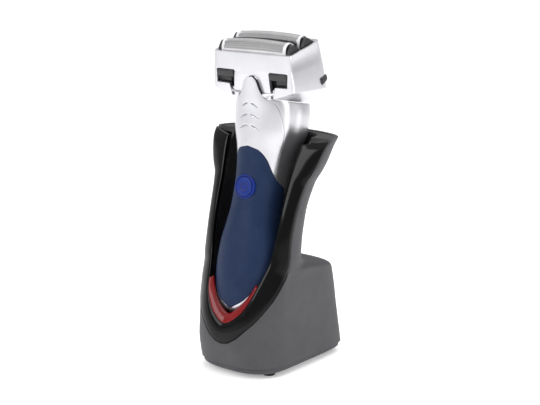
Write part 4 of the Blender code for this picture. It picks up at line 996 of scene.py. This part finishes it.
def button_mark():
    """A plain on-off mark moulded into the button: an open ring and a bar."""
    place = button_frame()
    radius, wide, thick = mm(2.3, 0.27, 0.16)
    rings = []
    for turn in spread(math.radians(130), math.radians(410), 41):
        outward = Vector((math.cos(turn), math.sin(turn), 0))
        centre = Vector((radius * math.cos(turn), radius * math.sin(turn), 0.56 * MM))
        rings.append([centre + outward * (wide * math.cos(a)) + Vector((0, 0, thick * math.sin(a)))
                      for a in around(8)])
    made = loft("button_mark", rings, place)
    bar = box("mark_bar", mm(-0.26, 0.5, 0.4), mm(0.26, 3.0, 0.68), place,
              bevel=0.1 * MM)
    activate(made)
    bar.select_set(True)
    bpy.ops.object.join()
    return made


def collar():
    """The ring round the button, with a rolled lip over the grip."""
    deep = SHELL + 0.3 * MM
    inner = BUTTON_RADIUS + 0.25 * MM
    profile = [(RING_RADIUS, -deep)] + edge_profile(RING_RADIUS, (0, 0.1), (0.1, 0.34), (0.35, 0.46))
    profile.append((inner + 0.25 * MM, 0.3 * MM))
    return lathe("button_collar", profile, button_frame(), steps=72, bore=inner, crease=50)


def trimmer_panel():
    """The pop-up trimmer's slide, with thumb ribs across it."""
    place = trimmer_frame()
    half = TRIMMER_WIDTH / 2
    rib_pitch = 1.1 * MM
    to_place = place.inverted() @ HANDLE
    rings = []
    for rise in spread(0, TRIMMER_LENGTH - 3 * MM, 85):
        top = []
        for x in spread(-half, half, 25):
            along = TRIMMER_FOOT + rise
            point = to_place @ Vector((x, back_depth(x, along), along))
            rib = 0.0
            if 13 * MM < rise < 24 * MM and abs(x) < 6.5 * MM:
                rib = 0.55 * MM * max(0.0, math.sin(rise / rib_pitch * math.pi)) ** 0.7
            edge = 0.5 * MM * (abs(x) / half) ** 24
            top.append(Vector((x, point.y - 0.15 * MM - rib - edge, rise)))
        rings.append(top + [Vector((half, -TRIMMER_THICK, rise)), Vector((-half, -TRIMMER_THICK, rise))])
    made = loft("trimmer_panel", rings, place, crease=30)
    return soften(made, 0.2 * MM, 2, 60)


def toothed_blade():
    """The trimmer's cutter: a steel strip with a comb of teeth along its top."""
    place = trimmer_frame()
    half = TRIMMER_WIDTH / 2 - 1 * MM
    foot, top = TRIMMER_LENGTH - 3 * MM + GAP, TRIMMER_LENGTH
    outline = [(-half, foot)]
    teeth = 17
    pitch = 2 * half / teeth
    for i in range(teeth):
        x = -half + i * pitch
        outline += [(x, foot + 1.2 * MM), (x + 0.25 * pitch, top), (x + 0.6 * pitch, top),
                    (x + 0.85 * pitch, foot + 1.2 * MM)]
    outline += [(half, foot + 1.2 * MM), (half, foot)]
    rings = [[Vector((x, depth * MM, z)) for x, z in outline] for depth in (-3.4, -2.0)]
    return loft("trimmer_teeth", rings, place)


# ---- head ----
def funnel():
    """The silver neck piece that opens out under the foil frame."""
    turns = around(128)
    neck = [HANDLE @ handle_point(angle, NECK_TOP + GAP) for angle in turns]
    deck = [HEAD @ head_point(angle, 0, inset=2.3 * MM, drop=GAP) for angle in turns]
    rings = []
    for share in spread(0, 1, 15):
        swell = share ** 1.35
        rings.append([low.lerp(high, swell) + Vector((0, 0, (share - swell) * (high.z - low.z)))
                      for low, high in zip(neck, deck)])
    made = loft("funnel", rings, crease=45)
    cut(made, ridge_room())
    cut(made, lathe("drive_cutter", [mm(4.4, 0), mm(4.4, 40)],
                    moved(HANDLE, 0, MOTOR_SETBACK, NECK_TOP - 8 * MM), steps=32))
    cut(made, trimmer_room())
    return soften(made, 0.25 * MM, 2, 50)


def ridge_room():
    """Room for the cover's ridge, which rises in front of the head."""
    edge = []
    for along in [NECK_TOP - 6 * MM] + spread(NECK_TOP, HANDLE_LENGTH, 16):
        point = handle_point(edge_step(COVER_SEAM(along), along, 0.5 * MM), along)
        edge.append((point.x, along))
    top = edge[-1][0]
    edge += [(top * 0.8, HANDLE_LENGTH + 0.45 * MM), (top * 0.4, HANDLE_LENGTH + 0.7 * MM)]
    outline = edge + [(-x, along) for x, along in reversed(edge)]
    front = FRONT(1.0) * HANDLE_DEPTH
    rings = [[Vector((x, depth, along)) for x, along in outline]
             for depth in (front + SHELL + 5.2 * MM, front - 8 * MM)]
    return loft("ridge_cutter", rings, HANDLE)


APRON_DROP, APRON_HALF = 8.0 * MM, 28 * MM   # drop of the frame's front edge, half its width
END_TURNS = 44, 136   # the hollow in each end, in degrees round the frame


def frame_surface(angle, share, inset=0.0):
    """The foil frame's skin, with its front apron and the hollow in each end."""
    point = head_point(angle, share, inset)
    turn = math.degrees(angle) % 360
    turn = min(turn, 360 - turn)
    if turn < 80:
        apron = APRON_DROP * max(0.0, 1 - (abs(point.x) / APRON_HALF) ** 1.3)
        point.z -= apron * (1 - share) ** 3
    first, last = END_TURNS
    if not inset and first < turn < last:
        across = math.sin(math.pi * (turn - first) / (last - first)) ** 0.8
        hollow = END_HOLLOW(share) * across
        point.x -= math.copysign(hollow, point.x)
    return point


def foil_shell():
    """The frame round the foils: apron, windows, release slots and a hollow in each end."""
    shares = spread(0, 1, 34)
    turns = []
    for first, last, count in ((0, 36, 20), (36, 60, 22), (60, 120, 26), (120, 146, 20), (146, 180, 18)):
        turns += spread(math.radians(first), math.radians(last), count)[:-1]
    turns = turns + [math.pi] + [math.tau - a for a in reversed(turns)]
    grids = [[[frame_surface(angle, share, inset) for angle in turns] for share in shares]
             for inset in (0, FRAME_WALL + 0.6 * MM)]
    made = skin("foil_shell", *grids, place=HEAD, wrap=[True] * len(shares), crease=30)
    for side in (-1, 1):
        cut(made, window_room(side))
        half, tall = RELEASE_LENGTH / 2 + 0.3 * MM, RELEASE_HEIGHT / 2 + 0.3 * MM
        place = release_frame(side)
        carve(made, "release_cutter", (-half, -6 * MM, -tall), (half, 4 * MM, tall), place,
              bevel=0.9 * MM, segments=3)
        slit = side * -2.6 * MM
        carve(made, "slit_cutter", (slit - 0.35 * MM, -6 * MM, -7 * MM),
              (slit + 0.35 * MM, 4 * MM, -tall + 0.5 * MM), place)
    cut(made, ridge_room())
    return soften(made, 0.3 * MM, 3, 40)


# outline of a window in the foil frame's front, (across, up) in millimetres
WINDOW = [(12.0, 11.8), (12.8, 12.6), (24.4, 12.6), (25.2, 12.0), (24.9, 5.0), (16.2, 4.7), (15.3, 1.2),
          (14.6, -1.6), (12.9, -1.6), (12.8, 3.0)]


def window_room(side):
    """The opening in the frame's front through which the hair chamber is rinsed."""
    rings = [[Vector((side * x * MM, depth * MM, z * MM)) for x, z in WINDOW] for depth in (-24, -7)]
    return loft("window_cutter", rings, HEAD)


def window_bar(side):
    """The black upper bar of a window, which stands out of the frame."""
    name = sided("window_bar", side)
    near, far = flank(side, 12.6, 24.8)
    made = begin(name, HEAD, ((near + far) / 2, -13.0 * MM, 10.3 * MM), (far - near, 3.4 * MM, 4.0 * MM))
    return soften(made, 0.8 * MM, 4)


def window_panel(side):
    """The dark panel behind a window, with a raised step across part of its front."""
    name = sided("window_panel", side)
    near, far = flank(side, 11.6, 25.4)
    made = box(name, (near, -11.6 * MM, 1.5 * MM), (far, -10.4 * MM, 12.6 * MM), HEAD)
    near, far = flank(side, 16, 24.4)
    step = box("panel_step", (near, -13.0 * MM, 5.2 * MM), (far, -11.0 * MM, 8.2 * MM), HEAD)
    return cut(made, step, "UNION")


def latch_lever(side):
    """The little silver tongue in the lower end of a window."""
    name = sided("latch_lever", side)
    place = turned(moved(HEAD, side * 14.0 * MM, -13.6 * MM, 1.0 * MM), "Y", side * 10)
    made = begin(name, place, (0, 0, 0), mm(0.9, 2.0, 4.0))
    return soften(made, 0.3 * MM, 3)


def release_pad(side):
    """A black release button with grip ribs across it."""
    name = sided("release_pad", side)
    half, tall = RELEASE_LENGTH / 2, RELEASE_HEIGHT / 2
    place = release_frame(side)
    made = begin(name, place, mm(0, -1.1, 0), (2 * half, 4.2 * MM, 2 * tall))
    soften(made, 1.1 * MM, 4)
    for k in (-2, -1, 0, 1, 2):
        rib = k * 1.15 * MM
        carve(made, "rib_cutter", (rib - 0.18 * MM, 0.75 * MM, -tall - 1 * MM),
              (rib + 0.18 * MM, 2 * MM, tall + 1 * MM), place)
    return made


def cutter_block():
    """The black cassette that carries the foils, with a slot for each foil."""
    turns = around(120)
    inset = FRAME_WALL + GAP + 0.5 * MM
    rings = []
    for height in (HOLDER_FOOT, HOLDER_FOOT + 2 * MM, HOLDER_TOP - 0.4 * MM, HOLDER_TOP):
        ring = []
        for angle in turns:
            edge = 0.3 * MM if height == HOLDER_TOP else 0
            point = head_point(angle, height / FRAME_TOP, inset + edge)
            ring.append(Vector((point.x, point.y, height)))
        rings.append(ring)
    made = loft("cutter_block", rings, HEAD)
    reach = FOIL_LENGTH / 2 + 0.6 * MM
    half = FOIL_WIDTH / 2 - 0.3 * MM
    for side in (-1, 1):
        middle = FOIL_MIDDLE + side * FOIL_PITCH / 2
        carve(made, "slot_cutter", (-reach, middle - half, HOLDER_FOOT - 5 * MM),
              (reach, middle + half, HOLDER_TOP + 5 * MM), HEAD)
    return soften(made, 0.25 * MM, 2)


def cheek(side):
    """The end of the cassette: two arches, a valley between them and a knob behind."""
    name = sided("cheek", side)
    base = HOLDER_TOP - 4 * MM
    first, last = mm(-10.6, 12.2)
    outline = [(FOIL_MIDDLE + first, base)]
    for depth in spread(first, last, 47):
        crown = base + 4.6 * MM
        for middle in (-FOIL_PITCH / 2, FOIL_PITCH / 2):
            off = (depth - middle) / (FOIL_WIDTH / 2 + 0.9 * MM)
            if abs(off) < 1:
                crown = max(crown, FRAME_TOP - 1.5 * MM + 5.6 * MM * (1 - abs(off) ** 1.5) ** 0.8)
        outline.append((FOIL_MIDDLE + depth, crown))
    outline.append((FOIL_MIDDLE + last, base))
    near, far = sorted((side * (FOIL_LENGTH / 2 + 0.7 * MM), side * (FOIL_LENGTH / 2 + 2.7 * MM)))
    rings = [[Vector((x, depth, height)) for depth, height in outline] for x in (near, far)]
    made = loft(name, rings, HEAD, crease=30)
    return soften(made, 0.35 * MM, 2, 60)


def arch(across, along, inset):
    """Point on a foil: across runs from 0 to pi over its width, along is the place on its length."""
    half = FOIL_WIDTH / 2 - inset
    sag = 1.2 * MM * (2 * along / FOIL_LENGTH) ** 2
    crest = FRAME_TOP + FOIL_RISE - inset - sag
    rise = (crest - FOIL_FOOT) * power(math.sin(across), 2 / FOIL_ROUND)
    return Vector((along, half * power(math.cos(across), 2 / FOIL_ROUND), FOIL_FOOT + rise))


def foil_sheet(name, middle):
    """A thin arched foil with real slots through it, in staggered columns."""
    mesh = bmesh.new()
    columns, rows = 121, 49
    reach = FOIL_LENGTH / 2 - 0.4 * MM
    points = [[mesh.verts.new(arch(across, along, 0.0)) for across in spread(0, math.pi, rows)]
              for along in spread(-reach, reach, columns)]
    for c in range(columns - 1):
        for r in range(rows - 1):
            inside = 4 <= c < columns - 5 and 7 <= r < rows - 7
            bridge = (r + (c // 2 % 2) * 3) % 6 == 0
            slot = c % 2 == 0 and not bridge
            if not (inside and slot):
                mesh.faces.new((points[c][r], points[c + 1][r], points[c + 1][r + 1], points[c][r + 1]))
    made = settle(name, mesh, moved(HEAD, 0, middle), crease=60)
    modify(made, "SOLIDIFY", thickness=0.12 * MM, offset=-1)
    return made


def foil_strip(name, middle, side):
    """The pale band that holds one end of a foil."""
    ends = spread(FOIL_LENGTH / 2 - 1.5 * MM, FOIL_LENGTH / 2 + 0.1 * MM, 5)
    grids = [[[arch(across, side * along, inset) for across in spread(0, math.pi, 49)]
              for along in ends] for inset in mm(-0.22, 0.4)]
    made = skin(name, *grids, place=moved(HEAD, 0, middle), crease=40)
    return soften(made, 0.15 * MM, 2, 60)


def comb_strip():
    """The narrow slit cutter between the foils: a thin ridge with a row of teeth."""
    half, reach = SLIT_WIDTH / 2, FOIL_LENGTH / 2 - 1.2 * MM
    outline = [(-reach, FOIL_FOOT)]
    teeth = 48
    pitch = 2 * reach / teeth
    for i in range(teeth):
        x = -reach + i * pitch
        middle = abs(x + pitch / 2) / reach
        top = FRAME_TOP + (4.3 - 1.0 * middle ** 3) * MM
        outline += [(x + 0.05 * pitch, top - 0.9 * MM), (x + 0.2 * pitch, top), (x + 0.75 * pitch, top),
                    (x + 0.9 * pitch, top - 0.9 * MM)]
    outline.append((reach, FOIL_FOOT))
    rings = [[Vector((x, depth, height)) for x, height in outline] for depth in (-half, half)]
    return loft("slit_comb", rings, moved(HEAD, 0, FOIL_MIDDLE))


# ---- putting it together ----
def dress_stand():
    dress(stand_shell(), "stand", charcoal, "charcoal_plastic", "stand_housing")
    dress(gloss_bezel(), "stand", gloss_black, "gloss_black", "bezel")
    dress(red_lens(), "stand", red, "red_lens", "charge_lens")
    dress(liner(), "stand", liner_black, "black_plastic", "cradle")
    dress(foot_plate(), "stand", charcoal, "charcoal_plastic", "base_plate")
    dress(inlet_block(), "stand", black, "black_plastic", "power_inlet")
    for index in range(1, len(SCREWS) + 1):
        dress(screw_head(index), "stand", steel, "steel", f"base_screw_{index}")
    for end in ("front_left", "front_right", "rear_left", "rear_right"):
        dress(rubber_foot(f"rubber_{end}", f"foot_{end}"), "stand", rubber, "rubber", f"foot_{end}")


def dress_handle():
    dress(grip_skin(), "shaver", navy, "navy_grip", "grip")
    dress(silver_cover(), "shaver", silver, "silver_paint", "front_cover")
    dress(silver_back(), "shaver", silver, "silver_paint", "rear_body")
    dress(foot_cap(), "shaver", silver, "silver_paint", "bottom_cap")
    dress(collar(), "shaver", blue, "blue_plastic", "button_ring")
    dress(button_cap(), "power_button", blue, "blue_plastic", "power_button")
    dress(button_mark(), "power_button", blue_mark, "blue_plastic")
    dress(trimmer_panel(), "trimmer", black, "black_plastic", "trimmer_slider")
    dress(toothed_blade(), "trimmer", foil_steel, "foil_steel", "trimmer_blade")
    dress(funnel(), "shaver", silver, "silver_paint", "head_base")


def dress_head():
    dress(foil_shell(), "foil_head", silver, "silver_paint", "foil_frame")
    dress(cutter_block(), "foil_head", black, "black_plastic", "foil_holder")
    for side, word in ((-1, "left"), (1, "right")):
        dress(window_bar(side), "foil_head", black, "black_plastic")
        dress(window_panel(side), "foil_head", black, "black_plastic")
        dress(latch_lever(side), "foil_head", silver, "silver_paint")
        dress(cheek(side), "foil_head", black, "black_plastic")
        dress(release_pad(side), f"release_{word}", black, "black_plastic", f"release_button_{word}")
    for word, offset in (("front", -1), ("rear", 1)):
        middle = FOIL_MIDDLE + offset * FOIL_PITCH / 2
        body = f"{word}_foil"
        dress(foil_sheet(f"{word}_foil_sheet", middle), body, foil_steel, "foil_steel", body)
        for side, end in ((-1, "left"), (1, "right")):
            dress(foil_strip(f"{word}_foil_strip_{end}", middle, side), body, strip_white, "foil_steel")
    dress(comb_strip(), "slit_blade", blade_steel, "foil_steel", "slit_blade")


def paint_inner_nodes():
    """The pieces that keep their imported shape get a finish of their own."""
    looks = {"charger_board": board, "control_board": board, "battery": sleeve, "motor": steel,
             "motor_shaft": steel, "chassis": black, "button_switch": black, "oscillator": black,
             "inlet_pin_left": brass, "inlet_pin_right": brass, "contact_left": brass,
             "contact_right": brass, "terminal_left": brass, "terminal_right": brass,
             "inner_blade_front": blade_steel, "inner_blade_rear": blade_steel}
    for name, surface in looks.items():
        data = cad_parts[name].data
        data.materials.clear()
        data.materials.append(surface)


def light(name, spot, target, size, power, colour=(1, 1, 1)):
    """A soft square lamp that faces a target."""
    lamp = bpy.data.lights.new(name, "AREA")
    lamp.shape = "RECTANGLE"
    lamp.size, lamp.size_y = size
    lamp.energy = power
    lamp.color = colour
    made = bpy.data.objects.new(name, lamp)
    made.location = spot
    made.rotation_euler = (Vector(target) - Vector(spot)).to_track_quat("-Z", "Y").to_euler()
    bpy.context.scene.collection.objects.link(made)


def studio():
    """A pale floor, a pale room with a greyer band above its horizon, three lamps and the camera."""
    bpy.ops.mesh.primitive_plane_add(size=6)
    floor = bpy.context.object
    floor.name = "floor"
    floor.data.materials.append(finish("floor_white", (0.93, 0.93, 0.93), (0.95, 0.95, 0.95), 0.4,
                                       (0.75, 0.85), 0.01, 0.000001, Emission_Color=(1, 1, 1, 1),
                                       Emission_Strength=0.3))
    world = bpy.data.worlds.new("room")
    world.use_nodes = True
    tree = world.node_tree
    spot = tree.nodes.new("ShaderNodeTexCoord")
    rise = tree.nodes.new("ShaderNodeSeparateXYZ")
    shade = tree.nodes.new("ShaderNodeValToRGB")
    for place, grey in ((0.0, 1.0), (0.06, 1.0), (0.14, 0.42), (0.45, 0.50), (0.8, 1.0)):
        stop = shade.color_ramp.elements[0] if not place else shade.color_ramp.elements.new(place)
        stop.color = (grey, grey, grey, 1)
    tree.links.new(spot.outputs["Generated"], rise.inputs["Vector"])
    tree.links.new(rise.outputs["Z"], shade.inputs["Fac"])
    tree.links.new(shade.outputs["Color"], tree.nodes["Background"].inputs["Color"])
    tree.nodes["Background"].inputs["Strength"].default_value = 1.0
    bpy.context.scene.view_settings.view_transform = "Standard"
    bpy.context.scene.world = world
    middle = (0, 0, 0.1)   # what the lamps face
    light("key_lamp", (-0.35, -0.95, 0.65), middle, (0.6, 0.6), 4.6)
    light("top_lamp", (0.1, 0.1, 1.0), middle, (0.8, 0.8), 5.5)
    light("side_lamp", (0.9, 0.1, 0.35), middle, (0.25, 0.7), 2.0)
    bpy.ops.object.camera_add()
    camera = bpy.context.object
    azimuth, elevation, distance = math.radians(39), math.radians(12.7), 0.763
    target = Vector(mm(0, 2.85, 92))
    back = Vector((math.sin(azimuth) * math.cos(elevation), -math.cos(azimuth) * math.cos(elevation),
                   math.sin(elevation)))
    camera.location = target + back * distance
    camera.rotation_euler = (-back).to_track_quat("-Z", "Y").to_euler()
    camera.data.sensor_width = 36
    camera.data.lens = 89.33
    camera.data.clip_start = 0.01
    bpy.context.scene.camera = camera


dress_stand()
dress_handle()
dress_head()
paint_inner_nodes()
studio()
